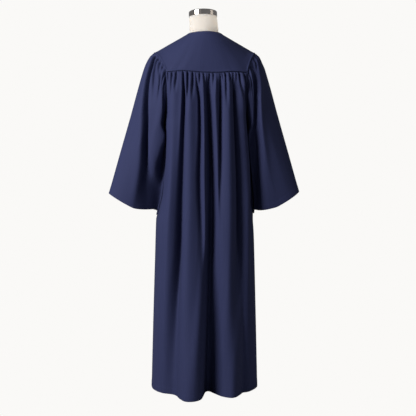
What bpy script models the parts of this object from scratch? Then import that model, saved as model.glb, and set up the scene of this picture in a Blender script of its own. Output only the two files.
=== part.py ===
"""Choir robe on a limbless dress form, its back towards -Y, standing on Z = 0.

The robe hangs from the form's shoulders: a smooth yoke, a gathered back, two
gathered fronts closed by a zip, and two wide open sleeves.  Every piece of
cloth is a thin wall, worked out ring by ring from the tables below.

Directions: X across, from the sleeve at -X to the sleeve at +X; the robe's
back faces -Y and its front +Y; Z up.  Lengths are metres, angles degrees.
"""
import math

import bmesh
import bpy
from mathutils import Matrix, Vector

# ---------------------------------------------------------------- dimensions
SEAM_GAP = 0.0003            # clear space between two pieces that meet
SLEEVE_SET = 0.0003          # how far a sleeve's edge keeps from the armhole line
CLOTH = 0.0020               # wall of the robe
BINDING = 0.0010             # wall of the neck binding
HEM_Z = 0.006                # lowest point of the robe
YOKE_SEAM_Z = 1.2640         # seam under the yokes, front and back
SHOULDER = (0.198, 1.336)    # shoulder point, across and up
ARMPIT_Z = 1.080
NECK_HALF = 0.0610           # half width of the neckline
NAPE = (0.0605, 1.4170)      # centre back of the neckline, back and up
NECK_SIDE_Z = 1.4120
THROAT = (0.0760, 1.3450)    # centre front of the neckline, forward and up
THROAT_CURVE = 1.5           # 1 would make the front neckline a straight V
BINDING_WIDTH = 0.0085
FRONT_EDGE = 0.0040          # each front stops this far from the centre line
GATHER_RUN = 0.050           # folds fade in over this drop below the yoke seam

# Half loop of an armhole.  turn 0 is the shoulder point, 180 the armpit.
ARMHOLE_COLUMNS = ("turn", "across", "back", "front")
ARMHOLE = (
    (0, 0.198, 0.000, 0.000),
    (22, 0.184, 0.033, 0.031),
    (44, 0.168, 0.061, 0.056),
    (64, 0.156, 0.083, 0.074),
    (95, 0.154, 0.088, 0.078),
    (130, 0.156, 0.068, 0.062),
    (158, 0.158, 0.034, 0.032),
    (180, 0.159, 0.000, 0.000),
)
YOKE_TURNS = (0, 22, 44, 64)                             # armhole edge of a yoke
PANEL_TURNS = (64, 79, 94, 109, 124, 138, 152, 166, 180)  # armhole edge of a panel

# Level sections of the robe's body, without its folds.  square is the power in
# the section's curve: 2 is an ellipse, and more than 2 has fuller corners.
SECTION_COLUMNS = ("z", "half", "back", "front", "square")
SECTIONS = (
    (1.264, 0.156, 0.110, 0.098, 2.5),
    (1.220, 0.155, 0.127, 0.112, 2.6),
    (1.150, 0.155, 0.138, 0.124, 2.8),
    (1.080, 0.159, 0.143, 0.132, 2.9),
    (0.960, 0.166, 0.148, 0.138, 2.7),
    (0.860, 0.176, 0.150, 0.142, 2.5),
    (0.720, 0.190, 0.152, 0.148, 2.3),
    (0.530, 0.197, 0.153, 0.154, 2.1),
    (0.290, 0.205, 0.154, 0.158, 2.0),
    (HEM_Z, 0.213, 0.155, 0.162, 2.0),
)
SKIRT_LEVELS = (1.080, 1.040, 0.980, 0.900, 0.815, 0.730, 0.640, 0.545,
                0.445, 0.340, 0.235, 0.130, 0.060, HEM_Z)

# Crests and valleys that run down a panel: where each lies across the robe
# and how far it stands out of the plain section, at three levels.
LINE_LEVELS = (1.160, 0.700, HEM_Z)
LINE_COLUMNS = ("across_top", "across_middle", "across_hem",
                "out_top", "out_middle", "out_hem")
BACK_LINES = (
    (-0.124, -0.140, -0.186, 0.007, 0.010, -0.006),   # crest by the left seam
    (-0.102, -0.123, -0.150, -0.012, -0.016, -0.022),  # left valley
    (-0.074, -0.082, -0.100, 0.007, 0.011, 0.020),    # left crest
    (-0.043, -0.050, -0.068, -0.010, 0.002, 0.049),   # valley that becomes a lobe
    (-0.026, -0.024, -0.036, 0.003, 0.006, 0.016),    # its steep flank
    (-0.010, -0.006, -0.010, -0.016, -0.030, -0.088),  # middle valley
    (0.003, 0.012, 0.016, -0.016, -0.030, -0.094),    # floor of the middle valley
    (0.018, 0.026, 0.044, 0.004, 0.000, -0.045),      # slope out of it
    (0.044, 0.040, 0.064, -0.010, -0.001, -0.006),    # valley that fades
    (0.070, 0.070, 0.088, 0.007, 0.011, 0.025),       # right crest
    (0.096, 0.116, 0.122, -0.014, -0.024, 0.006),     # right valley
    (0.122, 0.146, 0.156, 0.007, 0.009, 0.002),       # crest by the right seam
    (0.148, 0.172, 0.192, -0.005, 0.003, 0.002),     # last slack before the seam
)
FRONT_LINES = {
    -1: (
        (0.142, 0.160, 0.180, -0.001, 0.005, 0.010),
        (0.112, 0.132, 0.142, -0.010, -0.018, -0.026),
        (0.080, 0.096, 0.102, 0.006, 0.010, 0.026),
        (0.056, 0.060, 0.068, -0.007, -0.010, -0.016),
        (0.030, 0.031, 0.034, 0.000, 0.003, 0.004),
    ),
    1: (
        (0.144, 0.168, 0.194, -0.001, 0.004, 0.011),
        (0.120, 0.126, 0.150, -0.011, -0.014, -0.020),
        (0.088, 0.090, 0.112, 0.007, 0.011, 0.024),
        (0.060, 0.062, 0.074, -0.008, -0.015, -0.028),
        (0.030, 0.032, 0.036, 0.000, 0.002, 0.003),
    ),
}
BACK_STEPS = 3               # columns between two lines of the back
FRONT_STEPS = 2              # columns between two lines of a front
LAST_LINE = 0.97             # lines keep within this share of the half width

# Yoke: rows from the neckline to its outer edge, as shares of the way.
BINDING_ROW = None           # row along the lower edge of the binding
YOKE_ROWS = (0.0, BINDING_ROW, 0.36, 0.68, 1.0)
YOKE_CROWN = 0.007           # swell out of a straight fall
CROWN_RUN = 0.100            # distance from the shoulder seam to full swell
SHOULDER_LEAN = 0.54         # slope of the shoulder seam

# Sleeve.  drop 0 is the armhole, 1 the cuff; puff is how far its upper edge
# stands out of a straight line from the shoulder point to the cuff.
CUFF_OUTER = (0.376, 0.796)  # across and up
CUFF_INNER = (0.1965, 0.7175)
CUFF_BACK = 0.052            # half depths of the open cuff
CUFF_FRONT = 0.058
CUFF_CURVE = 1.28            # 1 would cut the cuff straight
UNDERARM_CLEAR = 0.0055      # how far the underarm stands off the body's side
UNDERARM_DROP = 0.060        # height below the armpit in which it gets there
UNDERARM_TURNS = (100, 160)  # the sleeve starts to follow the body, and does so fully
CUFF_FREE = (0.60, 0.50)     # drop from which it leaves the body, share kept at the cuff
PUFF_COLUMNS = ("drop", "puff")
PUFF = (
    (0.00, 0.0000),
    (0.05, 0.0120),
    (0.12, 0.0165),
    (0.22, 0.0160),
    (0.45, 0.0105),
    (0.70, 0.0060),
    (1.00, 0.0000),
)
SLEEVE_DROPS = (0.0, 0.04, 0.09, 0.16, 0.25, 0.36, 0.48, 0.61, 0.74, 0.87, 1.0)
FOLD_COLUMNS = ("face", "spread", "turn_head", "turn_middle", "turn_cuff",
                "deep_head", "deep_middle", "deep_cuff")
SLEEVE_FOLDS = (
    (-1, 20, 28, 95, 122, 0.010, 0.016, 0.012),   # long back crease
    (1, 22, 34, 80, 112, 0.008, 0.013, 0.012),    # long front crease
)
FOLD_RUN = 0.08              # share of the sleeve in which a crease starts
OUT_LEAN = 0.35              # how far an armhole's outward direction leans aside
OUT_FLOOR = 0.30             # least part of the lean left on the underarm

# Dress form: level sections of the torso, round a centre that moves with z.
FORM_COLUMNS = ("z", "half", "back", "front", "centre_x", "centre_y")
FORM = (
    (0.700, 0.140, 0.084, 0.080, 0.000, 0.000),
    (0.712, 0.150, 0.092, 0.088, 0.000, 0.000),
    (0.790, 0.156, 0.096, 0.092, 0.000, 0.000),
    (0.890, 0.142, 0.088, 0.086, 0.000, 0.000),
    (0.985, 0.122, 0.078, 0.080, 0.000, 0.000),
    (1.060, 0.132, 0.086, 0.092, 0.000, 0.000),
    (1.140, 0.144, 0.094, 0.102, 0.000, 0.000),
    (1.220, 0.162, 0.094, 0.092, 0.000, 0.000),
    (1.280, 0.178, 0.084, 0.078, 0.000, 0.000),
    (1.318, 0.184, 0.067, 0.060, 0.000, 0.000),
    (1.338, 0.176, 0.056, 0.050, 0.000, 0.000),
    (1.358, 0.146, 0.050, 0.044, 0.000, 0.000),
    (1.382, 0.088, 0.048, 0.038, 0.000, 0.000),
    (1.400, 0.0580, 0.051, 0.043, -0.001, 0.001),
    (1.414, 0.0560, 0.0545, 0.052, -0.002, 0.003),
    (1.440, 0.0555, 0.0550, 0.055, -0.003, 0.009),
)
NECK_TOP = (-0.005, 0.018, 1.4745)   # middle of the neck's slanted top
NECK_TOP_RADIUS = 0.0545
CAP_TILT = 10.0              # the neck's top falls this much towards the front
CAP_HEIGHT = 0.0215
CAP_EDGE = 0.004             # rounding of the cap's upper edge
CAP_RADIUS = 0.0550
FORM_SEGMENTS = 28
FORM_RINGS = 24
FORM_CROWDING = 1.8          # rings crowd towards the shoulders and neck
POLE_RADIUS = 0.0125
FLANGE_RADIUS = 0.045
FLANGE_HEIGHT = 0.006
BASE_THICK = 0.010
ARM_HALF_WIDTH = 0.019
ARM_END_STEPS = 6
COLLAR = (0.0215, 0.014)     # radius and height of the pole's foot
BASE_ARMS = ((-0.098, -0.096), (0.098, -0.096), (0.086, 0.098), (-0.086, 0.098))

# Zip
TAPE_HALF = 0.0130
TAPE_THICK = 0.0010
TAPE_GAP = 0.0006            # clear space behind the fronts
COIL_HALF = 0.0026
COIL_THICK = 0.0022
COIL_SINK = 0.0008           # below the face of the fronts
ZIP_FOOT_Z = 0.030
SLIDER = (0.0070, 0.0040, 0.0110)        # wide, deep, high
SLIDER_Z = 1.3240
BRIDGE = (0.0018, 0.0010, 0.0090)        # wide, thick, high
BRIDGE_OPENING = 0.0026                  # between the slider's face and the bridge
TAB = (0.0070, 0.0012, 0.0260)           # wide, thick, long
TAB_HOLE = (0.0032, 0.0056)              # wide, long
TAB_BAR = 0.0012                         # bar that the tab turns on


# Colours
NAVY = (0.016, 0.020, 0.060)
TAPE_NAVY = (0.012, 0.015, 0.045)
LINEN = (0.80, 0.74, 0.66)
STEEL = (0.55, 0.54, 0.52)


# ---------------------------------------------------------------- small maths
def column(table, columns, name):
    place = columns.index(name)
    return [row[place] for row in table]


def through(stops, values, at):
    """Value at a place on a smooth curve through a few stops, held at the ends."""
    if stops[0] > stops[-1]:
        stops, values = stops[::-1], values[::-1]
    if at <= stops[0]:
        return values[0]
    if at >= stops[-1]:
        return values[-1]
    slopes = [(values[i + 1] - values[i]) / (stops[i + 1] - stops[i])
              for i in range(len(stops) - 1)]
    tangents = [slopes[0]]
    for before, after in zip(slopes, slopes[1:]):
        same_way = before * after > 0
        tangents.append(2 * before * after / (before + after) if same_way else 0.0)
    tangents.append(slopes[-1])
    i = max(k for k in range(len(stops) - 1) if stops[k] <= at)
    step = stops[i + 1] - stops[i]
    t = (at - stops[i]) / step
    return (values[i] * (1 + 2 * t) * (1 - t) ** 2
            + tangents[i] * step * t * (1 - t) ** 2
            + values[i + 1] * t * t * (3 - 2 * t)
            + tangents[i + 1] * step * t * t * (t - 1))


def ease(t):
    t = min(max(t, 0.0), 1.0)
    return t * t * (3 - 2 * t)


def mix(a, b, t):
    return a + (b - a) * t


def curve_point(before, start, end, after, t):
    """Catmull-Rom value between start and end."""
    return 0.5 * (2 * start + (end - before) * t
                  + (2 * before - 5 * start + 4 * end - after) * t ** 2
                  + (3 * start - before - 3 * end + after) * t ** 3)


def unit(x, y, z=0.0):
    return Vector((x, y, z)).normalized()


# ---------------------------------------------------------------- mesh makers
def add_object(name, mesh, colour, roughness, metallic, smooth_angle=60):
    material = bpy.data.materials.new(name)
    material.use_nodes = True
    shader = material.node_tree.nodes["Principled BSDF"]
    shader.inputs["Base Color"].default_value = (*colour, 1.0)
    shader.inputs["Roughness"].default_value = roughness
    shader.inputs["Metallic"].default_value = metallic
    mesh.materials.append(material)
    mesh.shade_smooth()
    mesh.set_sharp_from_angle(angle=math.radians(smooth_angle))
    made = bpy.data.objects.new(name, mesh)
    robe.objects.link(made)
    return made


def closed_mesh(name, points, faces):
    """Mesh of one closed body, its faces turned outwards."""
    shape = bmesh.new()
    corners = [shape.verts.new(point) for point in points]
    for face in faces:
        shape.faces.new([corners[i] for i in face])
    bmesh.ops.recalc_face_normals(shape, faces=shape.faces[:])
    mesh = bpy.data.meshes.new(name)
    shape.to_mesh(mesh)
    shape.free()
    return mesh


def grid_normal(grid, r, c, closed):
    """Outward direction at a grid point, from the points round it."""
    rows, cols = len(grid), len(grid[0])
    down = grid[min(r + 1, rows - 1)][c][0] - grid[max(r - 1, 0)][c][0]
    if closed:
        along = grid[r][(c + 1) % cols][0] - grid[r][c - 1][0]
    else:
        along = grid[r][min(c + 1, cols - 1)][0] - grid[r][max(c - 1, 0)][0]
    return down.cross(along).normalized()


def cloth_wall(name, grid, colour, thick=CLOTH, closed=False):
    """Thin wall behind a grid of outer points.

    The grid runs down in rows and anticlockwise, seen from above, in columns.
    Each entry is a point and, on a seam, the direction both pieces share.
    """
    rows, cols = len(grid), len(grid[0])
    outer = [entry[0] for row in grid for entry in row]
    inner = []
    for r in range(rows):
        for c in range(cols):
            point, seam_normal = grid[r][c]
            normal = seam_normal or grid_normal(grid, r, c, closed)
            inner.append(point - normal * thick)
    back = rows * cols
    steps = cols if closed else cols - 1
    faces = []
    for r in range(rows - 1):
        for c in range(steps):
            a, b = r * cols + c, r * cols + (c + 1) % cols
            d, e = a + cols, b + cols
            faces += [(a, d, e, b), (back + a, back + b, back + e, back + d)]
    for r in (0, rows - 1):
        for c in range(steps):
            a, b = r * cols + c, r * cols + (c + 1) % cols
            faces.append((a, b, back + b, back + a))
    if not closed:
        for c in (0, cols - 1):
            for r in range(rows - 1):
                a = r * cols + c
                faces.append((a, a + cols, back + a + cols, back + a))
    mesh = closed_mesh(name, outer + inner, faces)
    return add_object(name, mesh, colour, 0.85, 0.0)


def lofted(name, rings, colour, roughness, metallic):
    """Closed body through rings with the same number of points."""
    count = len(rings[0])
    points = [point for ring in rings for point in ring]
    faces = []
    for r in range(len(rings) - 1):
        for c in range(count):
            a, b = r * count + c, r * count + (c + 1) % count
            faces.append((a, b, b + count, a + count))
    faces.append(tuple(range(count)))
    last = (len(rings) - 1) * count
    faces.append(tuple(range(last, last + count)))
    return add_object(name, closed_mesh(name, points, faces),
                      colour, roughness, metallic)


def turned(name, profile, colour, roughness, metallic):
    """Solid of revolution about Z from (radius, height) pairs, top to bottom."""
    mesh = bpy.data.meshes.new(name)
    points = [(radius, 0, height) for radius, height in profile]
    mesh.from_pydata(points, [(k, k + 1) for k in range(len(points) - 1)], [])
    made = add_object(name, mesh, colour, roughness, metallic, smooth_angle=35)
    spin = made.modifiers.new("turn", "SCREW")
    spin.steps = spin.render_steps = FORM_SEGMENTS
    spin.use_merge_vertices = True
    spin.merge_threshold = 0.00005
    spin.use_normal_calculate = False
    return made


# ---------------------------------------------------------------- armholes
def armhole(side, face, turn):
    """Point on an armhole.  side is -1 or 1 across, face -1 back or 1 front."""
    turns = column(ARMHOLE, ARMHOLE_COLUMNS, "turn")
    depth = "back" if face < 0 else "front"
    across = through(turns, column(ARMHOLE, ARMHOLE_COLUMNS, "across"), turn)
    deep = through(turns, column(ARMHOLE, ARMHOLE_COLUMNS, depth), turn)
    rise = (1 + math.cos(math.radians(turn))) / 2
    return Vector((side * across, face * deep, mix(ARMPIT_Z, SHOULDER[1], rise)))


def armhole_normal(side, face, turn):
    """Outward direction that every piece sewn to the armhole shares."""
    point = armhole(side, face, turn)
    middle = (SHOULDER[1] + ARMPIT_Z) / 2
    return (unit(0, point.y, point.z - middle) + Vector((side * OUT_LEAN, 0, 0))).normalized()


def armhole_edge(side, face, turn, inset):
    """Armhole entry, moved inwards to the body by inset or out to the sleeve."""
    normal = armhole_normal(side, face, turn)
    inwards = Vector((-side, 0, 0))
    inwards = (inwards - normal * inwards.dot(normal)).normalized()
    return armhole(side, face, turn) + inwards * inset, normal


# ---------------------------------------------------------------- robe body
def section(face, z, turn=None):
    """Half of a level section of the body: back for face -1, front for 1.

    Beside an armhole it passes through the armhole's edge at that turn, which it
    reaches at the angle seam; below the armpit that is the side itself.
    """
    heights = column(SECTIONS, SECTION_COLUMNS, "z")
    half, reach, square = (
        through(heights, column(SECTIONS, SECTION_COLUMNS, name), z)
        for name in ("half", "back" if face < 0 else "front", "square"))
    seam = 90.0
    if turn is not None:
        edge = armhole(1, face, turn)
        half = edge.x / across_share(abs(edge.y) / reach, square)
        seam = math.degrees(math.asin((edge.x / half) ** (square / 2)))
    return {"face": face, "z": z, "half": half, "reach": reach, "square": square,
            "seam": seam}


def across_share(depth_share, square):
    """Share of the half width that a section has left at a share of its depth."""
    return (1 - min(depth_share, 1) ** square) ** (1 / square)


def body_point(cut, angle, out=0.0):
    """Point of a section.  angle 0 is centre back, 90 the +X side, 180 centre front."""
    turn = math.radians(angle)
    half, reach, square = cut["half"], cut["reach"], cut["square"]
    across = math.copysign(abs(math.sin(turn)) ** (2 / square), math.sin(turn))
    level = cut["face"] * abs(math.cos(turn)) ** (2 / square)
    normal = unit(math.copysign(abs(across) ** (square - 1) / half, across),
                  math.copysign(abs(level) ** (square - 1) / reach, level))
    return Vector((half * across, reach * level, cut["z"])) + normal * out, normal


def body_cuts(face):
    """Sections below the yoke seam: beside the armholes, then down to the hem."""
    beside = [(section(face, armhole(1, face, turn).z, turn), turn)
              for turn in PANEL_TURNS[1:-1]]
    return beside + [(section(face, z), None) for z in SKIRT_LEVELS]


def line_value(line, name, z):
    places = [LINE_COLUMNS.index(f"{name}_{level}") for level in ("top", "middle", "hem")]
    return through(LINE_LEVELS, [line[place] for place in places], z)


def fold_fade(z):
    """Folds start from nothing at the yoke seam."""
    return ease((YOKE_SEAM_Z - z) / GATHER_RUN)


def angle_at(cut, across):
    """Angle in a section, counted from its middle, of a place across the robe."""
    share = min(abs(across) / cut["half"], LAST_LINE) ** (cut["square"] / 2)
    return math.copysign(math.degrees(math.asin(share)), across)


def panel_angles(cut, lines, start, end, steps):
    """Columns of a panel: angle and how far out, from its crests and valleys."""
    stops = [(start, 0.0)]
    for line in lines:
        angle = angle_at(cut, line_value(line, "across", cut["z"]))
        if cut["face"] > 0:
            angle = 180 - angle
        out = line_value(line, "out", cut["z"]) * fold_fade(cut["z"])
        stops.append((angle, out))
    stops.append((end, 0.0))
    columns = []
    for i in range(len(stops) - 1):
        around = [stops[max(i - 1, 0)], stops[i], stops[i + 1],
                  stops[min(i + 2, len(stops) - 1)]]
        for step in range(steps):
            t = step / steps
            angle = mix(stops[i][0], stops[i + 1][0], t)
            columns.append((angle, curve_point(*(stop[1] for stop in around), t)))
    return columns + [stops[-1]]


def front_lines(side):
    """Lines of a front panel in the order its columns run."""
    lines = [tuple(value * (side if LINE_COLUMNS[k].startswith("across") else 1)
                   for k, value in enumerate(line)) for line in FRONT_LINES[side]]
    return lines if side > 0 else lines[::-1]


def panel_columns(cut, side):
    """Columns of the back (side 0) or of the front on one side, at one section."""
    seam = cut["seam"]
    if side == 0:
        return panel_angles(cut, BACK_LINES, -seam, seam, BACK_STEPS)
    edge = angle_at(cut, FRONT_EDGE)
    if side > 0:
        return panel_angles(cut, front_lines(1), 180 - seam, 180 - edge, FRONT_STEPS)
    return panel_angles(cut, front_lines(-1), 180 + edge, 180 + seam, FRONT_STEPS)


def seam_sides(side, count):
    """Columns of a panel that lie on an armhole or a side seam, and their side."""
    if side == 0:
        return {0: -1, count - 1: 1}
    return {0: 1} if side > 0 else {count - 1: -1}


def yoke_seam(side, shift):
    """Points along the seam between a panel and its yoke, moved up by shift."""
    face = -1 if side == 0 else 1
    cut = section(face, YOKE_SEAM_Z, PANEL_TURNS[0])
    columns = panel_columns(cut, side)
    sewn = seam_sides(side, len(columns))
    entries = []
    for place, (angle, out) in enumerate(columns):
        point, normal = body_point(cut, angle, out)
        if place in sewn:
            point, normal = armhole_edge(sewn[place], face, PANEL_TURNS[0], SEAM_GAP / 2)
        point.z = YOKE_SEAM_Z + shift
        entries.append((point, normal))
    return entries


def panel_grid(side):
    """Outer points of the back (side 0) or of the front on one side."""
    face = -1 if side == 0 else 1
    grid = [yoke_seam(side, -SEAM_GAP / 2)]
    for cut, turn in body_cuts(face):
        columns = panel_columns(cut, side)
        sewn = seam_sides(side, len(columns))
        entries = []
        for place, (angle, out) in enumerate(columns):
            point, shared = body_point(cut, angle, out)[0], None
            if place in sewn and turn is not None:
                point, shared = armhole_edge(sewn[place], face, turn, SEAM_GAP / 2)
            elif place in sewn:
                point.y = face * SEAM_GAP / 2
                shared = Vector((sewn[place], 0, 0))
            entries.append((point, shared))
        grid.append(entries)
    return grid


# ---------------------------------------------------------------- yokes
def neckline(angle):
    """Point on the neckline.  angle as in body_point."""
    turn = math.radians(angle)
    across = NECK_HALF * math.sin(turn)
    level = abs(math.cos(turn))
    if math.cos(turn) >= 0:
        return Vector((across, -NAPE[0] * level, mix(NECK_SIDE_Z, NAPE[1], level ** 2)))
    fall = level ** THROAT_CURVE
    return Vector((across, THROAT[0] * level, mix(NECK_SIDE_Z, THROAT[1], fall)))


def neck_fall(foot, angle):
    """Direction out of a yoke where a column of it leaves the neckline."""
    turn = math.radians(angle)
    around = Vector((math.cos(turn), math.sin(turn), 0))
    return (foot - neckline(angle)).cross(around).normalized()


def yoke_feet(side):
    """Outer edge of a yoke, anticlockwise: armhole edges and the seam under it."""
    face = -1 if side == 0 else 1
    seam = yoke_seam(side, SEAM_GAP / 2)
    first, last = ([armhole_edge(end, face, turn, SEAM_GAP / 2) for turn in YOKE_TURNS[:-1]]
                   for end in (-1, 1))
    if side == 0:
        return first + seam + last[::-1]
    return last + seam if side > 0 else seam + first[::-1]


def yoke_grid(side):
    """Outer points of the back yoke (side 0) or of one front yoke."""
    face = -1 if side == 0 else 1
    edge = math.degrees(math.asin(FRONT_EDGE / NECK_HALF))
    start, end = {0: (-90, 90), 1: (90, 180 - edge), -1: (180 + edge, 270)}[side]
    feet = yoke_feet(side)
    lengths = [0.0]
    for (a, _), (b, _) in zip(feet, feet[1:]):
        lengths.append(lengths[-1] + (b - a).length)
    whole = lengths[-1]
    columns = []
    for (foot, foot_normal), run in zip(feet, lengths):
        angle = mix(start, end, run / whole)
        to_shoulder = {0: min(run, whole - run), 1: run, -1: whole - run}[side]
        crown = YOKE_CROWN * ease(to_shoulder / CROWN_RUN)
        top = neckline(angle)
        swell = neck_fall(foot, angle) * crown
        entries = []
        for share in YOKE_ROWS:
            if share is BINDING_ROW:
                share = BINDING_WIDTH / (foot - top).length
            point = top.lerp(foot, share) + swell * (4 * share * (1 - share))
            shared = foot_normal if share == 1.0 else None
            if to_shoulder == 0:
                point.y = face * SEAM_GAP / 2
                shared = Vector((math.copysign(SHOULDER_LEAN, point.x), 0, 1)).normalized()
            entries.append((point, shared))
        columns.append(entries)
    return [list(row) for row in zip(*columns)]


def moved_out(grid, r, c, distance):
    point, shared = grid[r][c]
    normal = shared or grid_normal(grid, r, c, False)
    return point + normal * distance, normal


def binding_grid(yokes):
    """Two rows on the yokes' neck edges, moved out: left front, back, right front."""
    away = 2 * SEAM_GAP + BINDING
    grid = []
    for r in (0, 1):
        row = []
        for side in (-1, 0, 1):
            cols = len(yokes[side][0])
            first, last = {-1: (0, cols - 1), 0: (0, cols), 1: (1, cols)}[side]
            row += [moved_out(yokes[side], r, c, away) for c in range(first, last)]
        grid.append(row)
    return grid


# ---------------------------------------------------------------- sleeves
def cuff_point(side, face, turn):
    middle = (CUFF_OUTER[0] + CUFF_INNER[0]) / 2
    half = (CUFF_OUTER[0] - CUFF_INNER[0]) / 2
    bend = math.radians(turn)
    across = middle + half * math.cos(bend)
    deep = (CUFF_BACK if face < 0 else CUFF_FRONT) * math.sin(bend)
    share = (across - CUFF_INNER[0]) / (2 * half)
    up = mix(CUFF_INNER[1], CUFF_OUTER[1], share ** CUFF_CURVE)
    return Vector((side * across, face * deep, up))


def fold_value(fold, name, drop):
    places = [FOLD_COLUMNS.index(f"{name}_{level}") for level in ("head", "middle", "cuff")]
    return through((0, 0.5, 1), [fold[place] for place in places], drop)


def sleeve_fold_depth(face, turn, drop):
    depth = 0.0
    for fold in SLEEVE_FOLDS:
        if fold[FOLD_COLUMNS.index("face")] != face:
            continue
        off = (turn - fold_value(fold, "turn", drop)) / fold[FOLD_COLUMNS.index("spread")]
        depth += fold_value(fold, "deep", drop) * math.exp(-off ** 2)
    return depth * ease(drop / FOLD_RUN)


def beside_body(face, point):
    """Half width of the plain body at a point's height and depth."""
    cut = section(face, point.z)
    return cut["half"] * across_share(abs(point.y) / cut["reach"], cut["square"])


def sleeve_point(side, face, turn, drop):
    head, seam_normal = armhole_edge(side, face, turn, -SLEEVE_SET)
    if drop == 0:
        return head, seam_normal
    bend = math.radians(turn)
    out = unit(side * (OUT_LEAN + max(math.cos(bend), -OUT_FLOOR)), face * math.sin(bend),
               OUT_LEAN * math.cos(bend))
    puff = through(column(PUFF, PUFF_COLUMNS, "drop"),
                   column(PUFF, PUFF_COLUMNS, "puff"), drop)
    lift = puff * (1 + math.cos(bend)) / 2 - sleeve_fold_depth(face, turn, drop)
    point = head.lerp(cuff_point(side, face, turn), drop) + out * lift
    start, full = UNDERARM_TURNS
    follow = ease((turn - start) / (full - start)) * ease((ARMPIT_Z - point.z) / UNDERARM_DROP)
    follow *= mix(1, CUFF_FREE[1], ease((drop - CUFF_FREE[0]) / (1 - CUFF_FREE[0])))
    point.x = side * mix(abs(point.x), beside_body(face, point) + UNDERARM_CLEAR, follow)
    return point, None


def sleeve_grid(side):
    """Outer points of a sleeve, armhole to cuff, all the way round."""
    turns = YOKE_TURNS + PANEL_TURNS[1:]
    behind = [(-1, turn) for turn in turns]
    before = [(1, turn) for turn in turns[-2:0:-1]]
    around = behind + before
    if side > 0:
        around = around[:1] + around[:0:-1]
    return [[sleeve_point(side, face, turn, drop) for face, turn in around]
            for drop in SLEEVE_DROPS]


# ---------------------------------------------------------------- zip
def front_edge_grid(yoke, panel, side):
    """Centre edge of a front, yoke and panel together, with the column next to it."""
    rows = []
    for grid in (yoke, panel[1:]):
        for r in range(len(grid)):
            edge, beside = (len(grid[0]) - 1, len(grid[0]) - 2) if side > 0 else (0, 1)
            rows.append((moved_out(grid, r, edge, 0), moved_out(grid, r, beside, 0)))
    return [row for row in rows if row[0][0].z > ZIP_FOOT_Z]


def tape_grid(rows, side):
    """Tape behind a front's edge, from beside the coil outwards."""
    grid = []
    for (edge, edge_normal), (beside, beside_normal) in rows:
        reach = (abs(edge.x) - COIL_HALF - SEAM_GAP) / abs(edge.x - beside.x)
        near = edge + (edge - beside) * reach - edge_normal * (CLOTH + TAPE_GAP)
        far_share = (TAPE_HALF - abs(edge.x)) / abs(edge.x - beside.x)
        far_normal = edge_normal.lerp(beside_normal, far_share).normalized()
        far = edge.lerp(beside, far_share) - far_normal * (CLOTH + TAPE_GAP)
        pair = [(near, edge_normal), (far, far_normal)]
        grid.append(pair[::-1] if side > 0 else pair)
    return grid


def coil_rings(rows):
    rings = []
    for (edge, normal), _ in rows:
        face = edge - Vector((0, normal.y, normal.z)) * COIL_SINK
        back = face - Vector((0, normal.y, normal.z)) * COIL_THICK
        rings.append([Vector((-COIL_HALF, face.y, face.z)), Vector((COIL_HALF, face.y, face.z)),
                      Vector((COIL_HALF, back.y, back.z)), Vector((-COIL_HALF, back.y, back.z))])
    return rings


def block(name, size, centre):
    bpy.ops.mesh.primitive_cube_add(size=1, location=centre)
    made = bpy.context.object
    made.name = name
    made.scale = size
    bpy.ops.object.transform_apply(location=True, scale=True)
    return made


def joined(first, others, operation):
    for other in others:
        cut = first.modifiers.new(other.name, "BOOLEAN")
        cut.operation = operation
        cut.object = other
        other.parent = first
        other.hide_render = True
        other.display_type = "WIRE"
        for collection in other.users_collection:
            collection.objects.unlink(other)
        cutters.objects.link(other)
    return first


def finish_metal(made, name, colour, pivot):
    made.name = name
    made.data.name = name
    material = bpy.data.materials.new(name)
    material.use_nodes = True
    shader = material.node_tree.nodes["Principled BSDF"]
    shader.inputs["Base Color"].default_value = (*colour, 1.0)
    shader.inputs["Roughness"].default_value = 0.35
    shader.inputs["Metallic"].default_value = 1.0
    made.data.materials.append(material)
    for collection in made.users_collection:
        collection.objects.unlink(made)
    robe.objects.link(made)
    made.parent = pivot


def slider_and_tab(rows):
    """Slider on the coil and the pull tab that hangs on its bridge.

    Both are modelled about the tab's own axis: Y out of the robe, Z up along it.
    """
    edges = [edge for (edge, _), _ in rows]
    upper = min((edge for edge in edges if edge.z >= SLIDER_Z), key=lambda edge: edge.z)
    lower = max((edge for edge in edges if edge.z < SLIDER_Z), key=lambda edge: edge.z)
    share = (SLIDER_Z - lower.z) / (upper.z - lower.z)
    face = lower.lerp(upper, share)
    slope = math.atan2(lower.y - upper.y, upper.z - lower.z)
    rise = SEAM_GAP - COIL_SINK + SLIDER[1] + BRIDGE_OPENING / 2
    out = Vector((0, math.cos(slope), math.sin(slope)))
    hinge = bpy.data.objects.new("zip_hinge", None)
    hinge.empty_display_size = 0.01
    hinge.location = Vector((0, face.y, face.z)) + out * rise
    hinge.rotation_euler.x = slope
    robe.objects.link(hinge)

    half_open = BRIDGE_OPENING / 2
    body = block("slider_body", SLIDER, (0, -half_open - SLIDER[1] / 2, 0))
    bridge = block("bridge", (BRIDGE[0], BRIDGE_OPENING + 2 * BRIDGE[1], BRIDGE[2]), (0, 0, 0))
    opening = block("opening", (2 * BRIDGE[0], BRIDGE_OPENING + 2 * BRIDGE[1],
                                BRIDGE[2] - 2 * BRIDGE[1]), (0, -BRIDGE[1], 0))
    joined(bridge, [opening], "DIFFERENCE")
    finish_metal(joined(body, [bridge], "UNION"), "zip_slider", STEEL, hinge)

    plate = block("tab_plate", TAB, (0, 0, TAB_BAR / 2 - TAB[2] / 2))
    hole = block("tab_hole", (TAB_HOLE[0], 4 * TAB[1], TAB_HOLE[1]),
                 (0, 0, -TAB_BAR / 2 - TAB_HOLE[1] / 2))
    finish_metal(joined(plate, [hole], "DIFFERENCE"), "zip_pull", STEEL, hinge)


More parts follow.
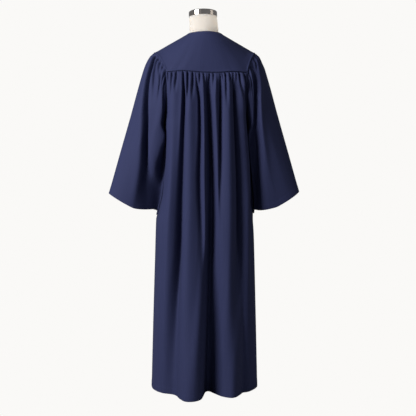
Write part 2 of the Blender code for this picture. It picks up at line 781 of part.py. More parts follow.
# ---------------------------------------------------------------- dress form
def form_torso():
    """Linen torso and neck, cut off by the slanted seat of the cap."""
    heights = column(FORM, FORM_COLUMNS, "z")
    names = FORM_COLUMNS[1:]
    rings = []
    for k in range(FORM_RINGS):
        share = k / (FORM_RINGS - 1)
        z = mix(heights[0], heights[-1], 1 - (1 - share) ** FORM_CROWDING)
        half, back, front, centre_x, centre_y = (
            through(heights, column(FORM, FORM_COLUMNS, name), z) for name in names)
        ring = []
        for step in range(FORM_SEGMENTS):
            turn = 2 * math.pi * step / FORM_SEGMENTS
            deep = front if math.sin(turn) > 0 else back
            ring.append(Vector((centre_x + half * math.cos(turn),
                                centre_y + deep * math.sin(turn), z)))
        rings.append(ring)
    seat = Matrix.Translation(NECK_TOP) @ Matrix.Rotation(math.radians(-CAP_TILT), 4, "X")
    rings.append([seat @ Vector((NECK_TOP_RADIUS * math.cos(2 * math.pi * step / FORM_SEGMENTS),
                                 NECK_TOP_RADIUS * math.sin(2 * math.pi * step / FORM_SEGMENTS),
                                 0)) for step in range(FORM_SEGMENTS)])
    return lofted("form_torso", rings, LINEN, 0.9, 0.0)


def form_cap():
    profile = [(0, CAP_HEIGHT), (CAP_RADIUS - CAP_EDGE, CAP_HEIGHT)]
    for k in (1, 2, 3):
        bend = math.radians(30 * k)
        profile.append((CAP_RADIUS - CAP_EDGE * (1 - math.sin(bend)),
                        CAP_HEIGHT - CAP_EDGE * (1 - math.cos(bend))))
    profile += [(CAP_RADIUS, SEAM_GAP), (0, SEAM_GAP)]
    cap = turned("form_neck_cap", profile, STEEL, 0.12, 1.0)
    cap.location = NECK_TOP
    cap.rotation_euler.x = math.radians(-CAP_TILT)


def form_pole():
    top = FORM[0][0] - SEAM_GAP
    foot = BASE_THICK + SEAM_GAP
    turned("form_pole", [(0, top), (FLANGE_RADIUS, top), (FLANGE_RADIUS, top - FLANGE_HEIGHT),
                         (POLE_RADIUS, top - FLANGE_HEIGHT), (POLE_RADIUS, foot + COLLAR[1]),
                         (COLLAR[0], foot + COLLAR[1]), (COLLAR[0], foot), (0, foot)],
           STEEL, 0.3, 1.0)


def form_base():
    """Flat four-armed foot: round arm ends, straight sides meeting at the hub."""
    arms = sorted(BASE_ARMS, key=lambda end: math.atan2(end[1], end[0]))
    outline = []
    for k, end in enumerate(arms):
        heading = math.atan2(end[1], end[0])
        for step in range(ARM_END_STEPS + 1):
            bend = heading - math.pi / 2 + math.pi * step / ARM_END_STEPS
            outline.append((end[0] + ARM_HALF_WIDTH * math.cos(bend),
                            end[1] + ARM_HALF_WIDTH * math.sin(bend)))
        following = arms[(k + 1) % len(arms)]
        between = (math.atan2(following[1], following[0]) - heading) % (2 * math.pi)
        corner = ARM_HALF_WIDTH / math.sin(between / 2)
        outline.append((corner * math.cos(heading + between / 2),
                        corner * math.sin(heading + between / 2)))
    shape = bmesh.new()
    sole = shape.faces.new([shape.verts.new((x, y, 0)) for x, y in outline])
    risen = bmesh.ops.extrude_face_region(shape, geom=[sole])["geom"]
    bmesh.ops.translate(shape, vec=(0, 0, BASE_THICK),
                        verts=[v for v in risen if isinstance(v, bmesh.types.BMVert)])
    bmesh.ops.recalc_face_normals(shape, faces=shape.faces[:])
    mesh = bpy.data.meshes.new("form_base")
    shape.to_mesh(mesh)
    shape.free()
    add_object("form_base", mesh, STEEL, 0.35, 1.0, smooth_angle=30)


# ---------------------------------------------------------------- build
def build_robe():
    yokes = {side: yoke_grid(side) for side in (-1, 0, 1)}
    panels = {side: panel_grid(side) for side in (-1, 0, 1)}
    names = {-1: "left", 1: "right"}
    cloth_wall("back_yoke", yokes[0], NAVY)
    cloth_wall("back_panel", panels[0], NAVY)
    cloth_wall("neck_binding", binding_grid(yokes), NAVY, thick=BINDING)
    edges = {}
    for side, name in names.items():
        cloth_wall(f"front_yoke_{name}", yokes[side], NAVY)
        cloth_wall(f"front_{name}", panels[side], NAVY)
        cloth_wall(f"sleeve_{name}", sleeve_grid(side), NAVY, closed=True)
        edges[side] = front_edge_grid(yokes[side], panels[side], side)
        cloth_wall(f"zip_tape_{name}", tape_grid(edges[side], side), TAPE_NAVY,
                   thick=TAPE_THICK)
    lofted("zip_coil", coil_rings(edges[1]), TAPE_NAVY, 0.5, 0.0)
    slider_and_tab(edges[1])


def build_form():
    form_torso()
    form_cap()
    form_pole()
    form_base()


for old in list(bpy.data.objects):
    bpy.data.objects.remove(old, do_unlink=True)
robe = bpy.data.collections.new("choir_robe")
cutters = bpy.data.collections.new("cutters")
for made_collection in (robe, cutters):
    bpy.context.scene.collection.children.link(made_collection)
build_robe()
build_form()
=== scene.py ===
"""Choir robe on a limbless dress form, its back towards -Y: cloth, zip, form, light.

The robe's pieces are thin shells on the forms of their solids, with every
gather, crease and turned edge placed in the tables below.  Directions are the
frame's: X across, -Y behind the robe, +Z up.  Lengths are metres, angles degrees.
Side -1 is the left, 1 the right and 0 the back; face -1 is behind and 1 in front.
"""
import math

import bpy
import numpy as np
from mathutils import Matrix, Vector


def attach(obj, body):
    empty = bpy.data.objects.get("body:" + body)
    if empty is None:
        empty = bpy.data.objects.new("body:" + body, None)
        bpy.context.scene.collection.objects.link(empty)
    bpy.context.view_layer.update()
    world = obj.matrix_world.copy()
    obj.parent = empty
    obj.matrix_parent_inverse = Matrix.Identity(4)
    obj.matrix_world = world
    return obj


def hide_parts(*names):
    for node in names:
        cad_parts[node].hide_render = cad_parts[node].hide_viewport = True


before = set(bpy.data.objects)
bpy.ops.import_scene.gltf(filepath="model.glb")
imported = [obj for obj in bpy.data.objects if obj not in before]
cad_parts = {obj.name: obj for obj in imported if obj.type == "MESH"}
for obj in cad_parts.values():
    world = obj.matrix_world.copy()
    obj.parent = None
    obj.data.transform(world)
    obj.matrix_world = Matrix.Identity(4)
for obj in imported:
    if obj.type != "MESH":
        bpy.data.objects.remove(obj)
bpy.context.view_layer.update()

ROBE_BODY, TAB_BODY = "robe_on_form", "pull_tab"

# ------------------------------------------------------------- robe's sizes
HEM_Z = 0.006
YOKE_SEAM_Z = 1.2640
SHOULDER_Z = 1.336
ARMPIT_Z = 1.080
NECK_HALF = 0.0610
NAPE = (0.0605, 1.4170)      # distance behind the axis, and height
NECK_SIDE_Z = 1.4120
THROAT = (0.0760, 1.3450)    # distance before the axis, and height
THROAT_CURVE = 1.5           # power of the neckline's fall towards the throat
FRONT_EDGE = 0.0040          # from the robe's middle to the edge of each front
CLOTH = 0.0009
BINDING_CLOTH = 0.0007
# The folded binding: distance down from the neck edge and out from the yoke's face.
BINDING_PROFILE = (
    (0.0062, -0.0018), (0.0030, -0.0019), (0.0008, -0.0019), (-0.0004, -0.0016), (-0.0010, -0.0009),
    (-0.0012, -0.0001), (-0.0008, 0.0006), (0.0003, 0.0010), (0.0020, 0.0011), (0.0045, 0.0010),
    (0.0066, 0.0008), (0.0080, 0.0010), (0.0085, 0.0007), (0.0087, 0.0001),
)
BINDING_STITCH_ROW = 10      # row of the profile that the edge stitching runs on
TUCK = 0.0024                # how far an edge lies under the piece it is sewn to
TUCK_WIDTH = 0.005           # how far it runs on there
TUCK_ROWS = 2                # rows of a panel that this seam allowance takes up
HAIR = 1e-6                  # heights closer than this are the same
MERGE = 0.00001              # corners of a solid closer than this are joined

# An armhole, by the turn from the shoulder point, 0, down to the armpit, 180: place
# across, and how far it is behind and in front.
ARMHOLE_COLUMNS = ("turn", "across", "back", "front")
ARMHOLE = (
    (0, 0.198, 0.000, 0.000),
    (22, 0.184, 0.033, 0.031),
    (44, 0.168, 0.061, 0.056),
    (64, 0.156, 0.083, 0.074),
    (95, 0.154, 0.088, 0.078),
    (130, 0.156, 0.068, 0.062),
    (158, 0.158, 0.034, 0.032),
    (180, 0.159, 0.000, 0.000),
)
YOKE_TURN = 64               # armhole turn where a yoke meets the panel under it

# Plain level sections of the robe's body: height, half width, reach behind and in
# front, and how square they are (2 is an ellipse).
SECTION_COLUMNS = ("z", "half", "back", "front", "square")
SECTIONS = (
    (1.264, 0.156, 0.110, 0.098, 2.5),
    (1.220, 0.155, 0.127, 0.112, 2.6),
    (1.150, 0.155, 0.138, 0.124, 2.8),
    (1.080, 0.159, 0.143, 0.132, 2.9),
    (0.960, 0.166, 0.148, 0.138, 2.7),
    (0.860, 0.176, 0.150, 0.142, 2.5),
    (0.720, 0.190, 0.152, 0.148, 2.3),
    (0.530, 0.197, 0.153, 0.154, 2.1),
    (0.290, 0.205, 0.154, 0.158, 2.0),
    (HEM_Z, 0.213, 0.155, 0.162, 2.0),
)

# Torso of the dress form, which the cloth must clear.
TORSO_COLUMNS = ("z", "half", "back", "front")
TORSO = (
    (0.700, 0.140, 0.084, 0.080),
    (0.712, 0.150, 0.092, 0.088),
    (0.790, 0.156, 0.096, 0.092),
    (0.890, 0.142, 0.088, 0.086),
    (0.985, 0.122, 0.078, 0.080),
    (1.060, 0.132, 0.086, 0.092),
    (1.140, 0.144, 0.094, 0.102),
    (1.220, 0.162, 0.094, 0.092),
    (1.280, 0.178, 0.084, 0.078),
)
TORSO_CLEAR = 0.006          # from the torso to the face of the cloth
TORSO_SOFT = 0.006           # how softly a valley stops there
TORSO_FOOT = 0.640           # the cloth is free of the torso below this height
TORSO_RUN = 0.06             # height over which the torso starts to hold it

# Broad crests and valleys: place across the robe and reach out of the plain
# section, at three heights.
LINE_LEVELS = (1.160, 0.700, HEM_Z)
BACK_LINES = (
    (-0.128, -0.146, -0.180, 0.009, 0.014, -0.006),
    (-0.106, -0.122, -0.132, 0.001, -0.010, -0.013),
    (-0.070, -0.077, -0.104, 0.004, 0.010, 0.016),
    (-0.038, -0.039, -0.082, -0.007, -0.003, 0.038),
    (-0.018, -0.016, -0.054, 0.003, 0.003, 0.034),
    (-0.002, 0.003, -0.030, -0.014, -0.028, 0.006),
    (0.009, 0.018, -0.010, -0.014, -0.030, -0.074),
    (0.024, 0.035, 0.014, 0.004, -0.004, -0.086),
    (0.043, 0.049, 0.034, -0.008, 0.000, -0.060),
    (0.074, 0.080, 0.058, 0.007, 0.011, -0.016),
    (0.105, 0.122, 0.088, -0.009, -0.010, 0.014),
    (0.131, 0.150, 0.124, 0.008, 0.009, 0.007),
    (0.152, 0.174, 0.166, -0.004, 0.004, -0.010),
)
FRONT_LINES = {
    -1: (
        (0.142, 0.160, 0.180, -0.001, 0.005, 0.010),
        (0.112, 0.132, 0.142, -0.010, -0.018, -0.026),
        (0.080, 0.096, 0.102, 0.006, 0.010, 0.026),
        (0.056, 0.060, 0.068, -0.007, -0.010, -0.016),
        (0.030, 0.031, 0.034, 0.000, 0.003, 0.004),
    ),
    1: (
        (0.144, 0.168, 0.194, -0.001, 0.004, 0.011),
        (0.120, 0.126, 0.150, -0.011, -0.014, -0.020),
        (0.088, 0.090, 0.112, 0.007, 0.011, 0.024),
        (0.060, 0.062, 0.074, -0.008, -0.015, -0.028),
        (0.030, 0.032, 0.036, 0.000, 0.002, 0.003),
    ),
}

# Long creases: a narrow core in each valley.  Each has rows of eight values, from
# the yoke down to the hem: across, depth, and the widths of the flank towards the
# left and of the one towards the right.
CREASE_LEVELS = (1.250, 1.218, 1.158, 1.045, 0.874, 0.620, 0.350, 0.060)
BACK_CREASES = (
    ((-0.092, -0.092, -0.095, -0.102, -0.111, -0.120, -0.134, -0.150),
     (0.007, 0.012, 0.018, 0.017, 0.019, 0.020, 0.012, 0.006),
     (0.0030, 0.0035, 0.0035, 0.004, 0.006, 0.008, 0.014, 0.024),
     (0.004, 0.005, 0.009, 0.012, 0.013, 0.014, 0.018, 0.024)),
    ((-0.044, -0.041, -0.033, -0.031, -0.036, -0.024, -0.020, -0.020),
     (0.002, 0.005, 0.012, 0.014, 0.012, 0.012, 0.004, 0.000),
     (0.003, 0.0035, 0.0045, 0.006, 0.008, 0.012, 0.024, 0.024),
     (0.003, 0.004, 0.006, 0.008, 0.010, 0.013, 0.016, 0.020)),
    ((-0.002, -0.003, 0.002, 0.008, 0.015, 0.021, 0.024, 0.020),
     (0.001, 0.003, 0.013, 0.018, 0.020, 0.020, 0.016, 0.006),
     (0.004, 0.0045, 0.005, 0.006, 0.007, 0.020, 0.048, 0.048),
     (0.005, 0.006, 0.008, 0.009, 0.010, 0.018, 0.038, 0.036)),
    ((0.048, 0.048, 0.048, 0.045, 0.044, 0.042, 0.040, 0.040),
     (0.004, 0.008, 0.014, 0.013, 0.006, 0.001, 0.000, 0.000),
     (0.003, 0.0035, 0.004, 0.0045, 0.006, 0.008, 0.010, 0.010),
     (0.003, 0.004, 0.006, 0.007, 0.010, 0.010, 0.010, 0.010)),
    ((0.093, 0.097, 0.104, 0.111, 0.121, 0.131, 0.144, 0.150),
     (0.002, 0.005, 0.015, 0.019, 0.019, 0.016, 0.013, 0.010),
     (0.003, 0.0035, 0.0040, 0.005, 0.006, 0.012, 0.034, 0.044),
     (0.004, 0.005, 0.007, 0.010, 0.012, 0.014, 0.014, 0.014)),
    ((0.141, 0.146, 0.157, 0.171, 0.174, 0.174, 0.174, 0.174),
     (0.006, 0.010, 0.016, 0.023, 0.020, 0.006, 0.000, 0.000),
     (0.003, 0.0035, 0.006, 0.010, 0.009, 0.010, 0.010, 0.010),
     (0.004, 0.006, 0.014, 0.022, 0.022, 0.012, 0.010, 0.010)),
    ((-0.160, -0.162, -0.166, -0.170, -0.174, -0.178, -0.186, -0.196),
     (0.000, 0.000, 0.000, 0.000, -0.0006, -0.0015, -0.0015, -0.0004),
     (0.004, 0.004, 0.004, 0.004, 0.004, 0.004, 0.004, 0.004),
     (0.004, 0.004, 0.004, 0.004, 0.004, 0.004, 0.004, 0.004)),
)
FRONT_CREASES = {
    -1: (
        ((0.111, 0.112, 0.112, 0.118, 0.128, 0.136, 0.138, 0.140),
         (0.008, 0.012, 0.014, 0.014, 0.012, 0.009, 0.005, 0.002),
         (0.004, 0.005, 0.007, 0.009, 0.012, 0.016, 0.018, 0.020),
         (0.004, 0.005, 0.008, 0.010, 0.012, 0.015, 0.018, 0.020)),
        ((0.057, 0.057, 0.056, 0.056, 0.059, 0.061, 0.064, 0.066),
         (0.008, 0.011, 0.013, 0.012, 0.010, 0.008, 0.005, 0.003),
         (0.004, 0.005, 0.007, 0.008, 0.010, 0.013, 0.016, 0.018),
         (0.004, 0.004, 0.006, 0.007, 0.009, 0.012, 0.014, 0.016)),
    ),
    1: (
        ((0.120, 0.121, 0.120, 0.121, 0.124, 0.130, 0.138, 0.148),
         (0.008, 0.012, 0.013, 0.014, 0.013, 0.010, 0.006, 0.003),
         (0.004, 0.005, 0.007, 0.009, 0.011, 0.015, 0.018, 0.020),
         (0.004, 0.005, 0.008, 0.010, 0.012, 0.015, 0.018, 0.020)),
        ((0.062, 0.061, 0.060, 0.060, 0.061, 0.064, 0.069, 0.073),
         (0.008, 0.011, 0.013, 0.013, 0.012, 0.010, 0.007, 0.004),
         (0.004, 0.005, 0.006, 0.007, 0.009, 0.012, 0.015, 0.018),
         (0.004, 0.005, 0.007, 0.008, 0.010, 0.013, 0.016, 0.018)),
    ),
}

# Gathers under the yoke seam.  Columns: place across at the seam and where each
# dies out, the height where it dies out, its depth, and its half width.
BACK_GATHERS = (
    (-0.149, -0.146, 1.195, 0.0095, 0.0032),
    (-0.133, -0.136, 1.140, 0.0100, 0.0032),
    (-0.117, -0.122, 1.175, 0.0100, 0.0030),
    (-0.075, -0.082, 1.090, 0.0130, 0.0034),
    (-0.056, -0.062, 1.145, 0.0105, 0.0032),
    (-0.030, -0.031, 1.190, 0.0085, 0.0030),
    (-0.015, -0.009, 1.145, 0.0080, 0.0030),
    (0.007, -0.001, 1.145, 0.0080, 0.0030),
    (0.022, 0.019, 1.160, 0.0095, 0.0032),
    (0.055, 0.058, 1.220, 0.0060, 0.0026),
    (0.068, 0.071, 1.110, 0.0110, 0.0036),
    (0.084, 0.089, 1.195, 0.0095, 0.0032),
    (0.099, 0.095, 1.200, 0.0055, 0.0030),
    (0.109, 0.113, 1.215, 0.0050, 0.0026),
    (0.122, 0.138, 1.140, 0.0130, 0.0038),
    (0.151, 0.154, 1.220, 0.0050, 0.0028),
)
FRONT_GATHERS = {
    -1: (
        (0.142, 0.134, 1.170, 0.0070, 0.0034),
        (0.128, 0.118, 1.120, 0.0090, 0.0038),
        (0.103, 0.104, 1.190, 0.0060, 0.0032),
        (0.091, 0.090, 1.215, 0.0050, 0.0030),
        (0.074, 0.070, 1.110, 0.0095, 0.0038),
        (0.046, 0.042, 1.190, 0.0060, 0.0032),
        (0.033, 0.030, 1.150, 0.0070, 0.0034),
        (0.019, 0.018, 1.205, 0.0050, 0.0030),
    ),
    1: (
        (0.144, 0.138, 1.190, 0.0060, 0.0032),
        (0.132, 0.126, 1.215, 0.0060, 0.0030),
        (0.108, 0.110, 1.160, 0.0080, 0.0036),
        (0.096, 0.094, 1.215, 0.0055, 0.0030),
        (0.081, 0.080, 1.100, 0.0095, 0.0038),
        (0.049, 0.048, 1.185, 0.0065, 0.0034),
        (0.036, 0.037, 1.140, 0.0080, 0.0036),
        (0.021, 0.020, 1.210, 0.0050, 0.0028),
    ),
}
GATHER_SPREAD = 0.8          # how much wider a gather is where it dies out
FADE_FROM = 0.3              # share of a gather's length past which it fades
BROAD_RUN = 0.050            # broad crests and valleys come in over this drop
CREASE_GAIN = 1.5            # the long creases are dug this many times as deep as listed
PUFF_DROP = 0.007            # the gathered edge swells out within this drop
SEAM_DIP = 0.0055            # how far it starts behind its plain face
PUFF_REACH = 0.0050          # how far it swells out
PUFF_HOLD = 0.02             # drop at which the swell starts to die out
PUFF_RUN = 0.090             # it does so over this further drop
EDGE_CALM = 0.007            # creases die out towards a side seam or front edge
# Bands of rows of a panel: height of each band's top and foot, and its rows.
ROW_BANDS = ((YOKE_SEAM_Z, 1.224, 26), (1.224, ARMPIT_Z, 34), (ARMPIT_Z, 0.930, 24),
             (0.930, 0.036, 60))
HEM_ROWS = (0.0330, 0.0300, 0.0200, 0.0100, HEM_Z)
DENSE = 1600                 # samples across a row before its columns are placed
# Columns of the back and of a front, and the shares of them kept for a row's ends.
BACK_COLS, BACK_ENDS = 320, (0.12, 0.12)
FRONT_COLS, FRONT_ENDS = 150, (0, 0.20)
END_PLACE = 0.93             # share of the half width past which those ends lie
ARMPIT_HALF = 0.15887        # half width that sections over the armpit are filled out to
FILL_EDGE = 0.08             # share of it beside the armhole where that fades out
HEM_TURN = 0.0315            # height of the turned hem's stitching
HEM_STEP = 0.0005            # how far the turned hem stands out
HEM_SLOPE = 0.002            # height that this step takes

# Waves of the seam under the back yoke: place across and rise.
SEAM_WAVES = ((-0.156, 0.0005), (-0.096, 0.0050), (-0.020, -0.0005), (0.040, -0.0015),
              (0.096, 0.0020), (0.156, -0.0015))
SEAM_WAVE_RUN = 0.04         # drop over which the back panel's rows follow them
# The hem rises a little at its corners: place across and rise.
HEM_WAVES = ((-0.213, 0.0060), (-0.150, 0.0035), (-0.100, 0.0), (0.120, 0.0), (0.213, 0.0015))
HEM_WAVE_TOP = 0.5           # height up to which the rows rise with the hem

# The body hangs a little towards the right beside the sleeves: height and shift.
LEAN = ((0.690, 0.0), (0.740, 0.0095), (0.800, 0.0165), (0.900, 0.0130), (0.990, 0.0070),
        (1.075, 0.0))
RIGHT_LEAN = 0.33            # share of it on the right
LEAN_FROM = 0.7              # share of the half width past which it shifts

# ------------------------------------------------------------- yokes' sizes
YOKE_CROWN = 0.007           # how far a yoke rounds out between its neck and its foot
CROWN_RUN = 0.100            # its crown grows over this distance from the shoulder
# Rows of a yoke, as shares of the way from its neck edge to its lower edge.
YOKE_SHARES = (*np.linspace(0, 0.94, 40), 0.952, 0.963, 0.972, 0.980, 0.987, 0.993, 1.0)
YOKE_COLS = {0: 170, 1: 90, -1: 90}  # columns of each
ARMHOLE_STEPS, SEAM_STEPS = 40, 160  # points of its outline before it is spaced evenly
# Soft pulls on the yokes.  Columns: place as a share of the lower outline, from the
# left shoulder round to the right one, lean towards the neck, half width, height.
YOKE_PULLS = {
    0: ((0.245, 0.060, 0.014, 0.0012), (0.285, 0.080, 0.016, -0.0016),
        (0.330, 0.090, 0.020, 0.0012), (0.430, 0.030, 0.040, 0.0012),
        (0.665, -0.010, 0.024, -0.0010), (0.740, -0.020, 0.024, 0.0007)),
    1: ((0.300, 0.060, 0.030, 0.0014), (0.380, 0.040, 0.030, -0.0014), (0.620, 0.0, 0.050, 0.0010)),
    -1: ((0.700, -0.060, 0.030, 0.0014), (0.600, -0.040, 0.030, -0.0014), (0.420, 0.0, 0.050, 0.0010)),
}
PULL_CALM = 0.06             # share beside the lower edge where they die out
SMOOTHINGS = 160             # passes that ease the yokes' fans of cloth
SMOOTHING = 0.5              # how far each pass goes
NECK_CALM, FOOT_CALM = 0.12, 0.20    # shares beside its edges where a pass does less
# Turned lower edge, from the edge up, and sunk shoulder seams, from the seam inwards:
# the row or column, and how far out it goes.
ROLLED_ROWS = ((-1, -0.0004), (-2, 0.0012), (-3, 0.0016), (-4, 0.0014), (-5, 0.0009),
               (-6, 0.0004))
SUNK_COLUMNS = ((0, -0.0012), (1, 0.0004), (2, 0.0006), (3, 0.0003))

# ------------------------------------------------------------- zip's sizes
ZIP_FOOT_Z = 0.030
SLIDER_Z = 1.3240
TAPE_EDGES = (0.0030, 0.0130)    # from the robe's middle
TAPE_GAP = 0.0012            # clear space between a front and the tape behind it
TAPE_COLS = 10
TAPE_CLOTH = 0.0007
TAPE_CORD = (0.0003, 0.0012) # height and half width of the cord in its inner edge
BESIDE_COLS = 6              # columns from a front's edge to where its direction is read
COIL_SINK = 0.0008           # below the face of the fronts
COIL_DEEP, COIL_HIGH, COIL_TOOTH = 0.0020, 0.0007, 0.0032    # depth, height, length of a tooth
COIL_PITCH = 0.0016          # from one tooth to the next of the same row
COIL_OFFSET = 0.0009         # from the robe's middle to the middle of a tooth
COIL_OPEN = 0.0007           # how much further that is over the slider
COIL_OPEN_RUN = 0.006        # height over which the rows part
# Outline of a tooth, as shares of its length and its depth.
TOOTH_OUTLINE = ((-0.50, 0.30), (-0.50, -0.30), (-0.30, -0.50), (0.36, -0.50), (0.50, -0.25),
                 (0.50, 0.25), (0.36, 0.50), (-0.30, 0.50))
TOOTH_THIN = (0.4, 0.6)      # past this share of its depth it has this share of its height
SLIDER_ROUND, TAB_ROUND = 0.0005, 0.00035
STITCH_PITCH, STITCH_LENGTH, STITCH_WIDTH, STITCH_HEIGHT = 0.0030, 0.0025, 0.0004, 0.0004
STITCH_LIFT = 0.0001         # from the face of the cloth to a stitch's middle
STITCH_AIM = 0.001           # how far ahead and behind it takes its direction from
TOPSTITCH_AT = 0.0100        # stitching on each front, from its edge

# ------------------------------------------------------------- form's sizes
NECK_BAND = (1.4183, 1.4232) # heights of the raised strip round the neck
NECK_BAND_LEAN = (0.0, -0.05, 1.0)
NECK_BAND_RAISE = 0.0005
NECK_BAND_SLOPE = 0.0003     # height that each of its steps takes
RIM_BEND = 0.6               # least cosine between the faces beside a smooth edge

# ------------------------------------------------------------- sleeves' sizes
# Outermost and innermost points of a cuff: place across and height.
CUFF_OUTER = (0.376, 0.796)
CUFF_INNER = (0.1965, 0.7100)
CUFF_BACK, CUFF_FRONT = 0.052, 0.058
CUFF_CURVE = 1.34            # power of its rise from the inner point to the outer one
CUFF_TURN = 0.955            # share of the sleeve where the turned cuff starts
CUFF_STEP = 0.0005           # how far the turned cuff stands out
CUFF_SLOPE = 0.004           # share of the sleeve that this step takes
UNDERARM_CLEAR = {-1: 0.0042, 1: 0.0030}     # from the body's cloth to each sleeve's
UNDERARM_DROP = 0.060        # drop from the armpit in which a sleeve comes beside it
UNDERARM_TURNS = (92, 136)   # turn where a sleeve starts to follow the body, and wholly does
CUFF_FOLLOW = (0.80, 1.02)   # share of the sleeve past which it follows more, and how much
OUT_LEAN, OUT_FLOOR = 0.35, 0.30     # tilt of its outward directions, how far they may turn in
# Puffed head: share of the way down the sleeve, and how far it stands out.
PUFF = ((0.00, 0.0000), (0.012, 0.0055), (0.03, 0.0120), (0.06, 0.0150), (0.12, 0.0170),
        (0.22, 0.0160), (0.45, 0.0105), (0.70, 0.0060), (1.00, 0.0000))
ARMHOLE_GROOVE = (0.0070, 0.012)     # how deep the armhole seam sinks, and the share it takes
DIG_TURN = 0.7               # how far creases near the top are dug from behind
DIG_TURN_FROM, DIG_TURN_RUN = 8, 20  # turns of a head gather over which that comes in
# Bands of rows of a sleeve: start and end, as shares of its length, and its rows.
SLEEVE_BANDS = ((0.0, 0.16, 46), (0.16, 0.94, 84), (0.94, 1.0, 14))
SLEEVE_COLS = 288
CREASE_OPEN = 0.03           # share of the sleeve in which its long creases open

# Long sleeve creases, at seven shares of the way from head to cuff: the face
# (-1 back, 1 front), the turn it follows, its depth (less than 0 for a ridge),
# and its flanks in degrees, towards the outside and towards the body.
SLEEVE_LEVELS = (0.0, 0.07, 0.16, 0.29, 0.43, 0.70, 1.0)
SLEEVE_CREASES = {
    -1: (
        (-1, (17, 23, 27, 41, 62, 98, 112), (0.018, 0.026, 0.026, 0.029, 0.034, 0.036, 0.012),
         (3.5, 4, 4.5, 5, 6.5, 10, 14), (4, 5, 6, 7, 9, 14, 30)),
        (-1, (-4, 4, 10, 26, 45, 78, 94), (0, 0, -0.001, -0.003, -0.005, -0.005, -0.002),
         (12, 12, 12, 12, 14, 16, 16), (8, 8, 8, 9, 10, 12, 12)),
        (-1, (60, 84, 106, 114, 109, 104, 112), (-0.003, -0.009, -0.013, -0.016, -0.017, -0.010, 0),
         (20, 26, 30, 28, 18, 10, 10), (8, 9, 10, 11, 10, 9, 10)),
        (-1, (130, 130, 130, 130, 128, 127, 130), (0, 0, 0, 0.003, 0.015, 0.034, 0.040),
         (8, 8, 8, 8, 11, 15, 22), (8, 8, 8, 8, 10, 14, 18)),
        (1, (30, 36, 48, 64, 82, 100, 112), (0.003, 0.007, 0.011, 0.014, 0.016, 0.016, 0.012),
         (6, 7, 9, 11, 13, 16, 18), (6, 8, 10, 13, 15, 20, 24)),
        (1, (8, 12, 18, 26, 36, 44, 50), (0.002, 0.005, 0.006, 0.006, 0.005, 0.004, 0.003),
         (5, 6, 8, 9, 10, 12, 14), (5, 6, 8, 10, 12, 14, 16)),
    ),
    1: (
        (-1, (38, 47, 58, 86, 101, 116, 126), (0.006, 0.015, 0.023, 0.029, 0.032, 0.032, 0.026),
         (4, 4, 5, 6, 7, 10, 12), (8, 11, 18, 26, 30, 30, 30)),
        (-1, (14, 32, 46, 74, 90, 107, 116), (0, -0.003, -0.006, -0.008, -0.009, -0.010, -0.008),
         (10, 11, 14, 16, 18, 18, 20), (6, 6, 6, 7, 8, 9, 9)),
        (1, (26, 34, 46, 60, 76, 96, 108), (0.003, 0.007, 0.012, 0.015, 0.015, 0.014, 0.012),
         (6, 7, 9, 11, 13, 16, 18), (6, 8, 10, 13, 16, 22, 26)),
        (1, (4, 10, 16, 20, 26, 36, 44), (0.002, 0.005, 0.007, 0.006, 0.005, 0.004, 0.003),
         (5, 6, 8, 9, 10, 12, 14), (5, 6, 8, 10, 12, 14, 16)),
    ),
}
# Gathers of the sleeve head.  Columns: turn at the armhole (below 0 on the front) and
# where each dies out, the share of the sleeve where it does, depth, half width in degrees.
HEAD_GATHERS = {
    -1: (
        (-66, -72, 0.12, 0.0030, 5), (-54, -58, 0.22, 0.0060, 4.5), (-41, -44, 0.13, 0.0045, 4),
        (-27, -28, 0.10, 0.0040, 4), (-14, -12, 0.14, 0.0050, 4), (2, 6, 0.10, 0.0040, 3.2),
        (31, 62, 0.28, 0.0130, 3.0), (41, 54, 0.09, 0.0100, 2.8), (52, 76, 0.20, 0.0100, 3.0),
        (65, 74, 0.09, 0.0060, 3.0), (77, 84, 0.09, 0.0050, 3.4),
    ),
    1: (
        (-64, -70, 0.14, 0.0035, 5), (-50, -56, 0.20, 0.0055, 4.5), (-38, -41, 0.12, 0.0045, 4),
        (-24, -26, 0.16, 0.0050, 4), (-8, -4, 0.12, 0.0050, 4), (4, 12, 0.10, 0.0040, 3),
        (17, 34, 0.14, 0.0070, 3), (28, 44, 0.12, 0.0080, 3), (50, 62, 0.15, 0.0110, 3),
        (61, 80, 0.14, 0.0100, 3.2), (72, 88, 0.10, 0.0060, 3.2),
    ),
}
HEAD_RUN = 0.020             # share of the sleeve in which its gathers open


# ------------------------------------------------------------- small maths
def column(table, columns, name):
    place = columns.index(name)
    return [row[place] for row in table]


def through(stops, values, at):
    """Smooth curve through a few stops that never overshoots, held at its ends."""
    stops, values = np.asarray(stops, float), np.asarray(values, float)
    if stops[0] > stops[-1]:
        stops, values = stops[::-1], values[::-1]
    step = np.diff(stops)
    slope = np.diff(values) / step
    together = slope[:-1] * slope[1:]
    total = np.where(together > 0, slope[:-1] + slope[1:], 1.0)
    inner = np.where(together > 0, 2 * together / total, 0.0)
    tangent = np.concatenate([slope[:1], inner, slope[-1:]])
    at = np.clip(at, stops[0], stops[-1])
    i = np.clip(np.searchsorted(stops, at, side="right") - 1, 0, len(step) - 1)
    t = (at - stops[i]) / step[i]
    return (values[i] * (1 + 2 * t) * (1 - t) ** 2 + tangent[i] * step[i] * t * (1 - t) ** 2
            + values[i + 1] * t * t * (3 - 2 * t) + tangent[i + 1] * step[i] * t * t * (t - 1))


def curve(pairs, at):
    """Smooth curve through a table of stops and values."""
    return through(*np.transpose(pairs), at)


def read_off(table, columns, name, at):
    """Smooth curve through one column of a table, against its first column."""
    return through(column(table, columns, columns[0]), column(table, columns, name), at)


def ease(t):
    t = np.clip(t, 0.0, 1.0)
    return t * t * (3 - 2 * t)


def mix(a, b, t):
    return a + (b - a) * t


def fading(share):
    """Strength of a gather at a share of its length: whole at first, then down to 0."""
    return 1 - ease((share - FADE_FROM) / (1 - FADE_FROM))


